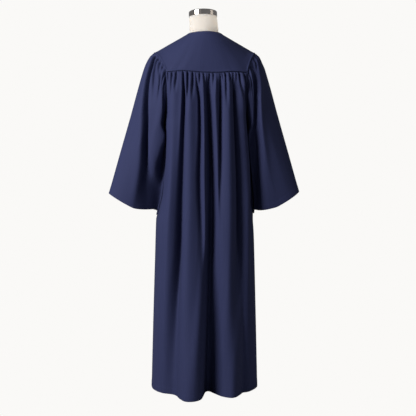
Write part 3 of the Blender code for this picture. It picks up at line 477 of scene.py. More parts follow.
def unit(vectors):
    return vectors / np.linalg.norm(vectors, axis=-1, keepdims=True)


def stacked(x, y, z):
    return np.stack(np.broadcast_arrays(x, y, z), axis=-1).astype(float)


def run_along(points):
    """Distance of each point of a line from the first, along the line."""
    steps = np.linalg.norm(np.diff(points, axis=0), axis=1)
    return np.concatenate([[0], np.cumsum(steps)])


def resampled(points, run, at):
    """Values at some distances along a line that has one value at each of its points."""
    return stacked(*(np.interp(at, run, points[:, axis]) for axis in range(3)))


def wave_through(stops, values, at):
    """Rounded wave through its stops, free to overshoot as cloth does."""
    i = np.clip(np.searchsorted(stops, at, side="right") - 1, 0, len(stops) - 2)
    t = np.clip((at - stops[i]) / (stops[i + 1] - stops[i]), 0, 1)
    before, start = values[np.maximum(i - 1, 0)], values[i]
    end, after = values[i + 1], values[np.minimum(i + 2, len(stops) - 1)]
    return 0.5 * (2 * start + (end - before) * t
                  + (2 * before - 5 * start + 4 * end - after) * t ** 2
                  + (3 * start - before - 3 * end + after) * t ** 3)


def notch(off, left, right):
    """Trough of depth 1: sharp at its floor, soft at its shoulders."""
    width = np.where(off < 0, left, right)
    return np.exp(-(np.abs(off) / width) ** 2)


# ------------------------------------------------------------- armholes
def armhole(side, turn):
    """Points of an armhole; turns below 0 run down its front, above 0 its back."""
    size = np.abs(turn)
    across, back, front = (read_off(ARMHOLE, ARMHOLE_COLUMNS, name, size)
                           for name in ("across", "back", "front"))
    rise = (1 + np.cos(np.radians(size))) / 2
    return stacked(side * across, np.where(np.asarray(turn) > 0, -back, front),
                   mix(ARMPIT_Z, SHOULDER_Z, rise))


def armhole_normal(side, turn):
    """Outward directions of the sleeve where it leaves the armhole."""
    point = armhole(side, turn)
    lift = unit(stacked(0, point[..., 1], point[..., 2] - (SHOULDER_Z + ARMPIT_Z) / 2))
    return unit(lift + np.array((side * OUT_LEAN, 0, 0)))


def armhole_inwards(side, turn):
    """Directions from the armhole seam on into the body, level with the cloth there."""
    normal = armhole_normal(side, turn)
    aside = np.array((-side, 0.0, 0.0))
    return unit(aside - normal * (normal @ aside)[..., None])


# ------------------------------------------------------------- robe's body
def across_share(depth_share, square):
    """Share of its half width that a section has left at a share of its reach."""
    return (1 - np.minimum(depth_share, 1) ** square) ** (1 / square)


def section_sizes(face, z):
    """Half width, reach and squareness of the plain section at a height."""
    names = ("half", "back" if face < 0 else "front", "square")
    return [read_off(SECTIONS, SECTION_COLUMNS, name, z) for name in names]


def section(face, z, turn=None):
    """Level half section: back for face -1, front for 1; through the armhole at turn."""
    half, reach, square = (float(size) for size in section_sizes(face, z))
    edge = half
    if turn is not None:
        x, y, _ = armhole(1, -face * turn)
        edge, half = float(x), float(x / across_share(abs(y) / reach, square))
    return {"face": face, "z": z, "half": half, "reach": reach, "square": square, "edge": edge}


def section_angle(cut, across):
    """Angle of a place across a section: 0 in the middle, 90 at its side."""
    share = np.minimum(np.abs(across) / cut["half"], 1) ** (cut["square"] / 2)
    return np.copysign(np.degrees(np.arcsin(share)), across)


def section_ends(cut, side):
    """Angles between which the back (side 0) or one front runs in a section."""
    outer = float(section_angle(cut, cut["edge"]))
    if side == 0:
        return -outer, outer
    return float(section_angle(cut, FRONT_EDGE)), outer


def section_points(cut, side, count):
    """Evenly spaced points of the back or of one front in a section."""
    turn = np.radians(np.linspace(*section_ends(cut, side), DENSE))
    power = 2 / cut["square"]
    across = np.copysign(np.abs(np.sin(turn)) ** power, np.sin(turn))
    level = cut["face"] * np.abs(np.cos(turn)) ** power
    line = stacked(cut["half"] * across, cut["reach"] * level, cut["z"])
    run = run_along(line)
    at = np.linspace(0, run[-1], count)
    points = resampled(line, run, at)
    x, y = points[:, 0], points[:, 1]
    steep = cut["square"] - 1
    normal = unit(stacked(np.copysign(np.abs(x / cut["half"]) ** steep / cut["half"], x),
                          np.copysign(np.abs(y / cut["reach"]) ** steep / cut["reach"], y), 0))
    return points, normal, at


def broad_relief(cut, lines, across):
    """Reach of the broad crests and valleys out of the plain section."""
    places, reach = ([float(through(LINE_LEVELS, line[k:k + 3], cut["z"])) for line in lines]
                     for k in (0, 3))
    edge = cut["edge"]
    start = -edge if cut["face"] < 0 else FRONT_EDGE
    angles = section_angle(cut, np.array([start, *places, edge]))
    fade = ease((YOKE_SEAM_Z - cut["z"]) / BROAD_RUN)
    return wave_through(angles, np.array([0.0, *reach, 0.0]), section_angle(cut, across)) * fade


def crease_relief(z, creases, across):
    """Narrow cores of the long creases."""
    relief = 0.0
    for crease in creases:
        place, depth, left, right = (float(through(CREASE_LEVELS, row, z)) for row in crease)
        relief = relief - CREASE_GAIN * depth * notch(across - place, left, right)
    return relief * ease((YOKE_SEAM_Z - z) / PUFF_DROP)


def gather_relief(z, gathers, across):
    """Short gathers under the seam, and the swell of the gathered edge."""
    drop = YOKE_SEAM_Z - z
    swell = ease(drop / PUFF_DROP)
    relief = PUFF_REACH * swell * (1 - ease((drop - PUFF_HOLD) / PUFF_RUN)) - SEAM_DIP * (1 - swell)
    for start, end, foot, depth, width in gathers:
        share = drop / (YOKE_SEAM_Z - foot)
        place = mix(start, end, ease(share))
        open_width = width * (1 + GATHER_SPREAD * share)
        deep = depth * ease(drop / PUFF_DROP) * fading(share)
        relief = relief - deep * notch(across - place, open_width, open_width)
    return relief


def clear_of_torso(grid, face):
    """Stops a panel's deepest valleys just before the dress form."""
    x, y, z = np.moveaxis(grid, -1, 0)
    half, reach = (read_off(TORSO, TORSO_COLUMNS, name, z)
                   for name in ("half", "back" if face < 0 else "front"))
    least = reach * np.sqrt(np.clip(1 - (x / half) ** 2, 0, 1)) + TORSO_CLEAR
    held = least + TORSO_SOFT * np.logaddexp(0, (face * y - least) / TORSO_SOFT)
    near = ease((z - TORSO_FOOT) / TORSO_RUN) * (np.abs(x) < half)
    grid[..., 1] = face * mix(face * y, held, near)
    return grid


def filled_out(cut, across):
    """Depth that evens a section just over the armpit, where the armhole pinches it."""
    full = max(cut["half"], ARMPIT_HALF)
    share = np.abs(across)
    deeper = across_share(share / full, cut["square"])
    extra = deeper - across_share(share / cut["half"], cut["square"])
    return cut["reach"] * extra * ease((1 - share / cut["edge"]) / FILL_EDGE)


def panel_cuts(face):
    """Level sections of a panel, from the yoke seam to the hem."""
    heights = [float(armhole(1, YOKE_TURN)[2])]
    for top, foot, count in ROW_BANDS:
        heights += list(np.linspace(top, foot, count + 1)[1:])
    heights += HEM_ROWS
    cuts = []
    for z in heights:
        turn = None
        if z > ARMPIT_Z + HAIR:
            level = 2 * (z - ARMPIT_Z) / (SHOULDER_Z - ARMPIT_Z) - 1
            turn = math.degrees(math.acos(level))
        cuts.append(section(face, z, turn))
    return cuts


def even_row(points, count, inside, ends):
    """Evenly spread points of a row, with a share kept for each end beside an armhole."""
    run = run_along(points)
    middle = run[inside]
    stops = [0, middle[0], middle[-1], run[-1]]
    shares = [0, ends[0], 1 - ends[1], 1]
    return resampled(points, run, np.interp(np.linspace(0, 1, count), shares, stops))


def shifted(cut, across, side):
    """How far the body's lean moves a row of the back or of one front."""
    share = np.abs(across) / cut["edge"]
    aside = ease((share - LEAN_FROM) / (1 - LEAN_FROM)) * curve(LEAN, cut["z"])
    aside = aside * np.where(across * (side or 1) < 0, 1, RIGHT_LEAN)
    return aside if side >= 0 else -aside


def panel_row(cut, side):
    """Points of one row: of the back (side 0) from the left, of a front from its edge."""
    if side == 0:
        lines, creases, gathers = BACK_LINES, BACK_CREASES, BACK_GATHERS
        count, ends = BACK_COLS, BACK_ENDS
    else:
        lines, creases, gathers = FRONT_LINES[side][::-1], FRONT_CREASES[side], FRONT_GATHERS[side]
        count, ends = FRONT_COLS, FRONT_ENDS
    z = cut["z"]
    points, normal, run = section_points(cut, side, DENSE)
    across = points[:, 0]
    points[:, 1] += cut["face"] * filled_out(cut, across)
    relief = (broad_relief(cut, lines, across) + crease_relief(z, creases, across)
              + gather_relief(z, gathers, across))
    calm = ease((run[-1] - run) / EDGE_CALM) * ease(run / EDGE_CALM)
    hem = HEM_STEP * ease((HEM_TURN - z) / HEM_SLOPE)
    row = points + normal * (relief * calm + hem)[:, None]
    row[:, 0] += shifted(cut, across, side)
    return even_row(row, count, np.abs(across) < END_PLACE * cut["edge"], ends)


def panel(side):
    """Points of the back (side 0) or of one front, from under the yoke to the hem."""
    face = 1 if side else -1
    grid = clear_of_torso(np.array([panel_row(cut, side) for cut in panel_cuts(face)]), face)
    if side == 0:
        near = 1 - ease((YOKE_SEAM_Z - grid[..., 2]) / SEAM_WAVE_RUN)
        grid[..., 2] += curve(SEAM_WAVES, grid[..., 0]) * near
    if side < 0:
        grid[..., 0] *= -1
    low = 1 - ease(grid[..., 2] / HEM_WAVE_TOP)
    grid[..., 2] += curve(HEM_WAVES, grid[..., 0]) * low
    if side > 0:
        grid = grid[:, ::-1]
    return tucked_under_yoke(grid)


def tucked_under_yoke(grid):
    """Adds the seam allowance: the top edge goes up behind the yoke."""
    normal = unit(grid_normals(grid)[0] * (1, 1, 0))
    seam = grid[0] - normal * TUCK
    hidden = seam + np.array((0, 0, TUCK_WIDTH)) - normal * TUCK / 2
    return np.concatenate([[hidden], [seam], grid[1:]])


# ------------------------------------------------------------- yokes
def neckline(angle):
    """Points on the neckline: angle 0 is centre back, 90 the +X side, 180 the throat."""
    turn = np.radians(angle)
    level = np.abs(np.cos(turn))
    behind = np.cos(turn) >= 0
    return stacked(NECK_HALF * np.sin(turn),
                   np.where(behind, -NAPE[0] * level, THROAT[0] * level),
                   np.where(behind, mix(NECK_SIDE_Z, NAPE[1], level ** 2),
                            mix(NECK_SIDE_Z, THROAT[1], level ** THROAT_CURVE)))


def seam_under_yoke(side, count):
    """Points of the lower edge of a yoke, anticlockwise."""
    cut = section(1 if side else -1, YOKE_SEAM_Z, YOKE_TURN)
    points = section_points(cut, side, count)[0]
    if side == 0:
        points[:, 2] += curve(SEAM_WAVES, points[:, 0])
    if side < 0:
        points[:, 0] *= -1
    return points[::-1] if side > 0 else points


def yoke_feet(side):
    """Even points round the lower outline of a yoke, and their distances along it."""
    face = 1 if side else -1
    turns = np.linspace(0, YOKE_TURN, ARMHOLE_STEPS) * -face
    seam = seam_under_yoke(side, SEAM_STEPS)
    before, after = armhole(face, turns), armhole(-face, turns)[::-1]
    outline = {0: [before[:-1], seam, after[1:]], 1: [before[:-1], seam], -1: [seam, after[1:]]}
    line = np.concatenate(outline[side])
    run = run_along(line)
    at = np.linspace(0, run[-1], YOKE_COLS[side])
    return resampled(line, run, at), at


def yoke_pulls(side, across, share):
    """Height of the soft pulls on a yoke."""
    pulls = 0.0
    for place, slant, width, height in YOKE_PULLS[side]:
        off = across[None, :] - place - slant * (1 - share)
        pulls = pulls + height * np.exp(-(off / width) ** 2) * share ** 2
    return pulls * ease((1 - share) / PULL_CALM)


def yoke(side):
    """Points of the back yoke (side 0) or of one front yoke, neck edge first."""
    feet, at = yoke_feet(side)
    whole = at[-1]
    edge = math.degrees(math.asin(FRONT_EDGE / NECK_HALF))
    start, end = {0: (-90, 90), 1: (90, 180 - edge), -1: (180 + edge, 270)}[side]
    angle = mix(start, end, at / whole)
    top = neckline(angle)
    around = stacked(np.cos(np.radians(angle)), np.sin(np.radians(angle)), 0)
    fall = unit(np.cross(feet - top, around))
    to_shoulder = {0: np.minimum(at, whole - at), 1: at, -1: whole - at}[side]
    crown = YOKE_CROWN * ease(to_shoulder / CROWN_RUN)
    share = np.array(YOKE_SHARES)[:, None]
    swell = crown[None, :] * 4 * share * (1 - share)
    grid = mix(top[None], feet[None], share[..., None]) + fall[None] * swell[..., None]
    strength = SMOOTHING * ease(share / NECK_CALM) * ease((1 - share) / FOOT_CALM)
    for _ in range(SMOOTHINGS):
        grid[:, 1:-1] += strength[..., None] * ((grid[:, 2:] + grid[:, :-2]) / 2 - grid[:, 1:-1])
    return grid + grid_normals(grid) * yoke_pulls(side, at / whole, share)[..., None]


def neck_binding(yokes):
    """Folded strip over the neck edges of the three yokes, left front edge first."""
    path = np.concatenate([yokes[-1][:, :-1], yokes[0], yokes[1][:, 1:]], axis=1)
    fall = unit(path[1] - path[0])
    face = grid_normals(path)[1]
    rows = []
    for down, out in BINDING_PROFILE:
        row = path[0] + fall * min(down, 0)
        if down > 0:
            row = np.array([resampled(line, run_along(line), down) for line in path.swapaxes(0, 1)])
        rows.append(row + face * out)
    return np.array(rows), face


def rolled_edge(grid):
    """Rolls the lower edge of a yoke in, and lets its shoulder seams sink."""
    normal = grid_normals(grid)
    for row, reach in ROLLED_ROWS:
        grid[row] += normal[row] * reach
    for col, reach in SUNK_COLUMNS:
        for place in (col, -1 - col):
            grid[:, place] += normal[:, place] * reach
    return grid


# ------------------------------------------------------------- sleeves
def cuff(side, turn):
    """Points round a cuff's open edge."""
    (outer, high), (inner, low) = CUFF_OUTER, CUFF_INNER
    middle, half = (outer + inner) / 2, (outer - inner) / 2
    bend = np.radians(np.abs(turn))
    across = middle + half * np.cos(bend)
    deep = np.where(np.asarray(turn) > 0, -CUFF_BACK, CUFF_FRONT) * np.sin(bend)
    share = (across - inner) / (2 * half)
    return stacked(side * across, deep, mix(low, high, share ** CUFF_CURVE))


def beside_body(face, height, depth):
    """Distance from the robe's middle to the cloth of its body."""
    half, reach, square = section_sizes(face, height)
    return half * across_share(np.abs(depth) / reach, square)


def sleeve_out(side, face, bend):
    """Outward directions of a sleeve on one face, at turns given in radians."""
    return unit(stacked(side * (OUT_LEAN + np.maximum(np.cos(bend), -OUT_FLOOR)),
                        face * np.sin(bend), OUT_LEAN * np.cos(bend)))


def dig_way(side, face, angle, turned):
    """Direction a sleeve's crease is dug from: near the top, more from behind."""
    return sleeve_out(side, face, np.radians(np.where(angle < 90, mix(angle, 90, turned), angle)))


def long_creases(side, drop, turn):
    """How far, and which way, a sleeve's long creases are dug."""
    dug = np.zeros(3)
    for face, *rows in SLEEVE_CREASES[side]:
        path, depth, outer, inner = (through(SLEEVE_LEVELS, row, drop) for row in rows)
        deep = depth * notch(-face * turn - path, outer, inner) * ease(drop / CREASE_OPEN)
        dug = dug + deep[..., None] * dig_way(side, face, -face * turn, DIG_TURN)
    return dug


def head_gathers(side, drop, turn):
    """How far, and which way, the gathers of a sleeve's head are dug."""
    dug = np.zeros(3)
    for start, end, foot, depth, width in HEAD_GATHERS[side]:
        share = drop / foot
        place = mix(start, end, ease(share))
        deep = depth * ease(drop / HEAD_RUN) * fading(share)
        deep = deep * notch(turn - place, width * (1 + share), width * (1 + share))
        face = -1 if start > 0 else 1
        turned = DIG_TURN * ease((abs(start) - DIG_TURN_FROM) / DIG_TURN_RUN)
        dug = dug + deep[..., None] * dig_way(side, face, -face * turn, turned)
    return dug


def sleeve_lift(drop, bend):
    """Puffed head, groove of the armhole seam and step of the turned cuff."""
    groove, run = ARMHOLE_GROOVE
    lift = curve(PUFF, drop) * (1 + np.cos(bend)) / 2
    lift = lift - groove * np.exp(-drop / run) * np.sin(bend)
    return lift + CUFF_STEP * ease((drop - CUFF_TURN) / CUFF_SLOPE)


def follow_body(side, points, drop, turn):
    """Lays the underarm of a sleeve beside the cloth of the body."""
    start, full = UNDERARM_TURNS
    free, most = CUFF_FOLLOW
    follow = ease((np.abs(turn) - start) / (full - start))
    follow = follow * ease((ARMPIT_Z - points[..., 2]) / UNDERARM_DROP)
    follow = follow * mix(1, most, ease((drop - free) / (1 - free)))
    behind, before = (beside_body(face, points[..., 2], points[..., 1]) for face in (-1, 1))
    body = np.where(turn > 0, behind, before) + UNDERARM_CLEAR[side]
    aside = curve(LEAN, points[..., 2]) * (1 if side < 0 else RIGHT_LEAN)
    points[..., 0] = mix(points[..., 0], side * body + aside, follow)


def sleeve(side):
    """Points of a sleeve, armhole to cuff, all the way round."""
    turns = np.linspace(-180, 180, SLEEVE_COLS, endpoint=False)
    if side > 0:
        turns = turns[::-1]
    drops = np.concatenate([[0]] + [np.linspace(start, end, count + 1)[1:]
                                    for start, end, count in SLEEVE_BANDS])
    drop, turn = drops[:, None], turns[None, :]
    bend = np.radians(np.abs(turn))
    lift = sleeve_out(side, -np.sign(turn), bend) * sleeve_lift(drop, bend)[..., None]
    points = mix(armhole(side, turns)[None], cuff(side, turns)[None], drop[..., None])
    points = points + lift - long_creases(side, drop, turn) - head_gathers(side, drop, turn)
    follow_body(side, points, drop, turn)
    normal, inwards = armhole_normal(side, turns), armhole_inwards(side, turns)
    tuck = normal * TUCK * (1 + np.sin(bend)[0, :, None]) / 2
    seam = points[0] - tuck
    hidden = points[0] + inwards * TUCK_WIDTH - 2 * tuck
    return np.concatenate([[hidden], [seam], points[1:]])


# ------------------------------------------------------------- cloth meshes
def grid_normals(grid):
    """Outward directions; rows run down and columns anticlockwise from above."""
    return unit(np.cross(np.gradient(grid, axis=0), np.gradient(grid, axis=1)))


def placed(name, data):
    """New object in the scene for a mesh, a lamp or a camera."""
    made = bpy.data.objects.new(name, data)
    bpy.context.scene.collection.objects.link(made)
    return made


def pick(made):
    """Selects one object only, and makes it the active one."""
    bpy.ops.object.select_all(action="DESELECT")
    made.select_set(True)
    bpy.context.view_layer.objects.active = made


def apply_modifiers(made):
    pick(made)
    for modifier in list(made.modifiers):
        bpy.ops.object.modifier_apply(modifier=modifier.name)


def shaded(made, sharp_past):
    """Smooth shading, with edges kept sharp where faces turn by more than an angle."""
    made.data.shade_smooth()
    made.data.set_sharp_from_angle(angle=math.radians(sharp_past))
    return made


def covered(made, material):
    made.data.materials.clear()
    made.data.materials.append(material)


def cloth(name, grid, material, thick=CLOTH, closed=False):
    """Thin shell behind a grid of outer points, with a UV map in metres."""
    rows, cols = grid.shape[:2]
    place = np.arange(rows * cols).reshape(rows, cols)
    right = np.roll(place, -1, axis=1) if closed else place[:, 1:]
    left = place if closed else place[:, :-1]
    quads = np.stack([left[:-1], left[1:], right[1:], right[:-1]], axis=-1).reshape(-1, 4)
    mesh = bpy.data.meshes.new(name)
    mesh.from_pydata(grid.reshape(-1, 3).tolist(), [], quads.tolist())
    mesh.materials.append(material)
    unroll(mesh, grid, quads, closed)
    made = placed(name, mesh)
    wall = made.modifiers.new("wall", "SOLIDIFY")
    wall.thickness = thick
    wall.offset = -1
    apply_modifiers(made)
    return shaded(made, sharp_past=55)


def unroll(mesh, grid, quads, closed):
    """UV map of a grid, in metres along its columns and rows."""
    cols = grid.shape[1]
    across = np.linalg.norm(np.diff(grid, axis=1), axis=-1).mean(axis=0)
    down = np.linalg.norm(np.diff(grid, axis=0), axis=-1).mean(axis=1)
    u = np.concatenate([[0], np.cumsum(across)])
    v = -np.concatenate([[0], np.cumsum(down)])
    corner = np.array([loop.vertex_index for loop in mesh.loops])
    uv = np.stack([u[corner % cols], v[corner // cols]], axis=-1)
    if closed:
        column_of = quads % cols
        last = np.repeat((column_of.max(axis=1) == cols - 1) & (column_of.min(axis=1) == 0), 4)
        uv[last & (corner % cols == 0), 0] = u[-1] + float(np.mean(across))
    layer = mesh.uv_layers.new(name="cut")
    layer.data.foreach_set("uv", uv.ravel())


def dress(made, slot, *nodes, body=ROBE_BODY):
    """Says which body a piece rides on and the nodes that it replaces; its slot is not used."""
    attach(made, body)
    if nodes:
        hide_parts(*nodes)


# ------------------------------------------------------------- zip, stitches
def front_edge(yokes, panels, side):
    """Centre edge of a front from the neck down, with the cloth beside it and its face."""
    edge, near, face = [], [], []
    for grid in (yokes[side], panels[side][TUCK_ROWS:]):
        first, second = (-1, -1 - BESIDE_COLS) if side > 0 else (0, BESIDE_COLS)
        edge.append(grid[:, first])
        near.append(grid[:, second])
        face.append(grid_normals(grid)[:, first] * (0, 1, 1))
    edge, near, face = (np.concatenate(part) for part in (edge, near, face))
    keep = edge[:, 2] > ZIP_FOOT_Z
    return edge[keep], near[keep], unit(face[keep])


def zip_tape(edge, near, face, side):
    """Tape behind a front's edge, from beside the teeth outwards."""
    away = unit(near - edge)
    inner, outer = TAPE_EDGES
    height, width = TAPE_CORD
    reach = np.linspace(inner - FRONT_EDGE, outer - FRONT_EDGE, TAPE_COLS)
    grid = edge[:, None] + away[:, None] * reach[None, :, None]
    cord = height * np.exp(-((reach - reach[0]) / width) ** 2)
    grid = grid - face[:, None] * (CLOTH + TAPE_GAP - cord)[None, :, None]
    return grid[:, ::-1] if side > 0 else grid


def even_path(points, pitch):
    """Distances at an even pitch along a line, those of its own points, and the places."""
    run = run_along(points)
    at = np.arange(pitch / 2, run[-1], pitch)
    return at, run, resampled(points, run, at)


def repeated(name, shape, faces, centres, axes, material):
    """One mesh of many copies of a small shape, each with its own axes."""
    points = np.einsum("vk,nkj->nvj", shape, axes) + centres[:, None]
    count = len(shape)
    all_faces = [tuple(n * count + v for v in face) for n in range(len(centres)) for face in faces]
    mesh = bpy.data.meshes.new(name)
    mesh.from_pydata(points.reshape(-1, 3).tolist(), [], all_faces)
    mesh.materials.append(material)
    return shaded(placed(name, mesh), sharp_past=50)


def grain(length, width, height):
    """Small pointed grain along its first axis: sixteen triangles."""
    ring = [(0, width / 2, 0), (0, 0, height / 2), (0, -width / 2, 0), (0, 0, -height / 2)]
    shape = [(-length / 2, 0, 0)]
    for at in (-length / 4, length / 4):
        shape += [(at, y, z) for _, y, z in ring]
    shape.append((length / 2, 0, 0))
    faces = []
    for k in range(4):
        following = (k + 1) % 4
        faces.append((0, 1 + following, 1 + k))
        faces.append((1 + k, 1 + following, 5 + following, 5 + k))
        faces.append((5 + k, 5 + following, 9))
    return np.array(shape), faces


def stitching(name, line, face, material):
    """Row of stitches lying on a line of points."""
    at, run, centres = even_path(line, STITCH_PITCH)
    normal = unit(resampled(face, run, at))
    along = unit(resampled(line, run, at + STITCH_AIM) - resampled(line, run, at - STITCH_AIM))
    axes = np.stack([along, np.cross(normal, along), normal], axis=1)
    shape, faces = grain(STITCH_LENGTH, STITCH_WIDTH, STITCH_HEIGHT)
    return repeated(name, shape, faces, centres, axes, material)


def tooth():
    """One tooth along its first axis, thinned before and behind."""
    thin_from, thinned = TOOTH_THIN
    shape = np.array([(a, b, z) for z in (-0.5, 0.5) for a, b in TOOTH_OUTLINE])
    shape[:, 2] *= np.where(np.abs(shape[:, 1]) > thin_from, thinned, 1.0)
    count = len(TOOTH_OUTLINE)
    faces = [(k, (k + 1) % count, count + (k + 1) % count, count + k) for k in range(count)]
    faces += [tuple(range(count))[::-1], tuple(range(count, 2 * count))]
    return shape * (COIL_TOOTH, COIL_DEEP, COIL_HIGH), faces


def zip_teeth(edge, face, material):
    """Nylon coil: one row of teeth from each tape, meshed below the slider."""
    centre = edge * (0, 1, 1) - face * (COIL_SINK + COIL_DEEP / 2)
    at, run, places = even_path(centre, COIL_PITCH / 2)
    normal = unit(resampled(face, run, at))
    side = np.where(np.arange(len(at)) % 2 == 0, -1, 1)
    apart = COIL_OPEN * ease((places[:, 2] - SLIDER_Z) / COIL_OPEN_RUN)
    places[:, 0] = side * (COIL_OFFSET + apart)
    across = stacked(side, 0, 0)
    axes = np.stack([across, normal, np.cross(across, normal)], axis=1)
    return repeated("zip_teeth", *tooth(), places, axes, material)


def edited_copy(node, name):
    """Merged copy of a solid's mesh, left in edit mode with all of it selected."""
    made = placed(name, bpy.data.objects[node].data.copy())
    made.hide_render = False
    pick(made)
    bpy.ops.object.mode_set(mode="EDIT")
    bpy.ops.mesh.select_all(action="SELECT")
    bpy.ops.mesh.remove_doubles(threshold=MERGE)
    return made


def bevelled_copy(node, name, width, material):
    """Copy of a hard solid with its edges rounded."""
    made = edited_copy(node, name)
    bpy.ops.mesh.dissolve_limited(angle_limit=math.radians(2))
    bpy.ops.object.mode_set(mode="OBJECT")
    covered(made, material)
    round_off = made.modifiers.new("round", "BEVEL")
    round_off.width = width
    round_off.segments = 3
    round_off.limit_method = "ANGLE"
    round_off.angle_limit = math.radians(35)
    apply_modifiers(made)
    return shaded(made, sharp_past=40)


# ------------------------------------------------------------- dress form
def mark_rims(mesh):
    """Marks the edges round the torso's flat ends, so that smoothing keeps them."""
    rims = mesh.attributes.new("crease_edge", "FLOAT", "EDGE")
    beside = {}
    for face in mesh.polygons:
        for key in face.edge_keys:
            beside.setdefault(tuple(sorted(key)), []).append(face.normal)
    marks = np.zeros(len(mesh.edges))
    for k, edge in enumerate(mesh.edges):
        normals = beside.get(tuple(sorted(edge.vertices)), [])
        marks[k] = len(normals) == 2 and normals[0].dot(normals[1]) < RIM_BEND
    rims.data.foreach_set("value", marks)


def raise_neck_band(made):
    """Cuts the edges of the neck band into the neck, and raises what lies between."""
    low, high = NECK_BAND
    bpy.ops.object.mode_set(mode="EDIT")
    for height in (low, low + NECK_BAND_SLOPE, high - NECK_BAND_SLOPE, high):
        bpy.ops.mesh.select_all(action="SELECT")
        bpy.ops.mesh.bisect(plane_co=(0, 0, height), plane_no=NECK_BAND_LEAN)
    bpy.ops.mesh.select_all(action="DESELECT")
    bpy.ops.object.mode_set(mode="OBJECT")
    within = NECK_BAND_SLOPE / 3
    for vertex in made.data.vertices:
        place = vertex.co.dot(Vector(NECK_BAND_LEAN)) / NECK_BAND_LEAN[2]
        vertex.select = low + within < place < high - within
    bpy.ops.object.mode_set(mode="EDIT")
    bpy.ops.transform.shrink_fatten(value=-NECK_BAND_RAISE)
    bpy.ops.object.mode_set(mode="OBJECT")


def linen_torso(material):
    """Torso and neck under a tight linen cover, with the neck band's raised seam."""
    made = edited_copy("form_torso", "form_torso_linen")
    bpy.ops.mesh.dissolve_limited(angle_limit=math.radians(0.5))
    squarish = math.radians(60)
    bpy.ops.mesh.tris_convert_to_quads(face_threshold=squarish, shape_threshold=squarish)
    bpy.ops.object.mode_set(mode="OBJECT")
    smooth = made.modifiers.new("smooth", "SUBSURF")
    smooth.levels = 2
    smooth.render_levels = 2
    mark_rims(made.data)
    apply_modifiers(made)
    raise_neck_band(made)
    covered(made, material)
    return shaded(made, sharp_past=50)


# ------------------------------------------------------------- material nodes
def link(tree, source, target):
    tree.links.new(source, target)


def fill(node, values):
    """Sets the inputs of a node that values names."""
    for socket, value in values.items():
        node.inputs[socket].default_value = value


def added(tree, kind, values=None, **settings):
    """New node with its inputs and its settings given."""
    made = tree.nodes.new("ShaderNode" + kind)
    for setting, value in settings.items():
        setattr(made, setting, value)
    fill(made, values or {})
    return made


def new_material(name, colour, roughness, metallic=0.0):
    """Material of one even tone and gloss, with its nodes and its shader."""
    material = bpy.data.materials.new(name)
    material.use_nodes = True
    shader = material.node_tree.nodes["Principled BSDF"]
    fill(shader, {"Base Color": (*colour, 1), "Roughness": roughness, "Metallic": metallic})
    return material, material.node_tree, shader


def on_uv(tree):
    return added(tree, "UVMap", uv_map="cut").outputs["UV"]


def on_object(tree):
    return added(tree, "TexCoord").outputs["Object"]


def stretched(tree, source, scale):
    mapping = added(tree, "Mapping", {"Scale": scale})
    link(tree, source, mapping.inputs["Vector"])
    return mapping.outputs["Vector"]


def noise(tree, vector, scale, detail=2):
    made = added(tree, "TexNoise", {"Scale": scale, "Detail": detail})
    link(tree, vector, made.inputs["Vector"])
    return made.outputs["Fac"]


def higher_of(tree, first, second):
    """Whichever of two heights is the greater, as with crossing threads."""
    made = added(tree, "Math", operation="MAXIMUM")
    link(tree, first, made.inputs[0])
    link(tree, second, made.inputs[1])
    return made.outputs["Value"]


def plain_weave(tree, vector, scale):
    """Height of a plain weave whose threads run along the map's two directions."""
    threads = []
    for way in ("X", "Y"):
        wave = added(tree, "TexWave", {"Scale": scale, "Distortion": 1.2, "Detail": 1},
                     bands_direction=way)
        link(tree, vector, wave.inputs["Vector"])
        threads.append(wave.outputs["Fac"])
    return higher_of(tree, *threads)


def raised(tree, shader, height, strength, distance, over=None):
    """Fine relief on a shader, laid over another one where there is one."""
    bump = added(tree, "Bump", {"Strength": strength, "Distance": distance})
    link(tree, height, bump.inputs["Height"])
    if over is not None:
        link(tree, over, bump.inputs["Normal"])
    link(tree, bump.outputs["Normal"], shader.inputs["Normal"])
    return bump.outputs["Normal"]


def two_tone(tree, shader, factor, dark, light):
    tone = added(tree, "Mix", data_type="RGBA")
    fill(tone, {"A": (*dark, 1), "B": (*light, 1)})
    link(tree, factor, tone.inputs["Factor"])
    link(tree, tone.outputs["Result"], shader.inputs["Base Color"])


# ------------------------------------------------------------- materials
def navy_weave():
    """Matte navy polyester: plain weave, faint slubs along the warp, soft sheen."""
    material, tree, shader = new_material("navy_weave", (0.017, 0.021, 0.058), roughness=0.78)
    fill(shader, {"Sheen Weight": 0.01, "Sheen Roughness": 0.5, "Sheen Tint": (0.55, 0.60, 0.85, 1),
                  "Specular IOR Level": 0.10})
    uv = on_uv(tree)
    slub = noise(tree, stretched(tree, uv, (260, 9, 1)), scale=1, detail=3)
    two_tone(tree, shader, slub, dark=(0.0150, 0.0185, 0.0520), light=(0.0205, 0.0250, 0.0680))
    weave = raised(tree, shader, plain_weave(tree, uv, scale=480), strength=0.25, distance=0.0001)
    raised(tree, shader, slub, strength=0.2, distance=0.0006, over=weave)
    return material


def navy_thread():
    """Twisted polyester sewing thread, a touch lighter than the cloth."""
    material, tree, shader = new_material("navy_thread", (0.026, 0.032, 0.080), roughness=0.55)
    twist = noise(tree, on_object(tree), scale=1800)
    two_tone(tree, shader, twist, dark=(0.021, 0.026, 0.066), light=(0.034, 0.041, 0.100))
    raised(tree, shader, twist, strength=0.3, distance=0.0001)
    return material


def woven_tape():
    """Navy zip tape: fine ribs along its length."""
    material, tree, shader = new_material("woven_tape", (0.012, 0.015, 0.044), roughness=0.7)
    uv = on_uv(tree)
    streaks = noise(tree, stretched(tree, uv, (400, 40, 1)), scale=1)
    two_tone(tree, shader, streaks, dark=(0.010, 0.013, 0.038), light=(0.016, 0.020, 0.055))
    raised(tree, shader, plain_weave(tree, uv, scale=620), strength=0.4, distance=0.00015)
    return material


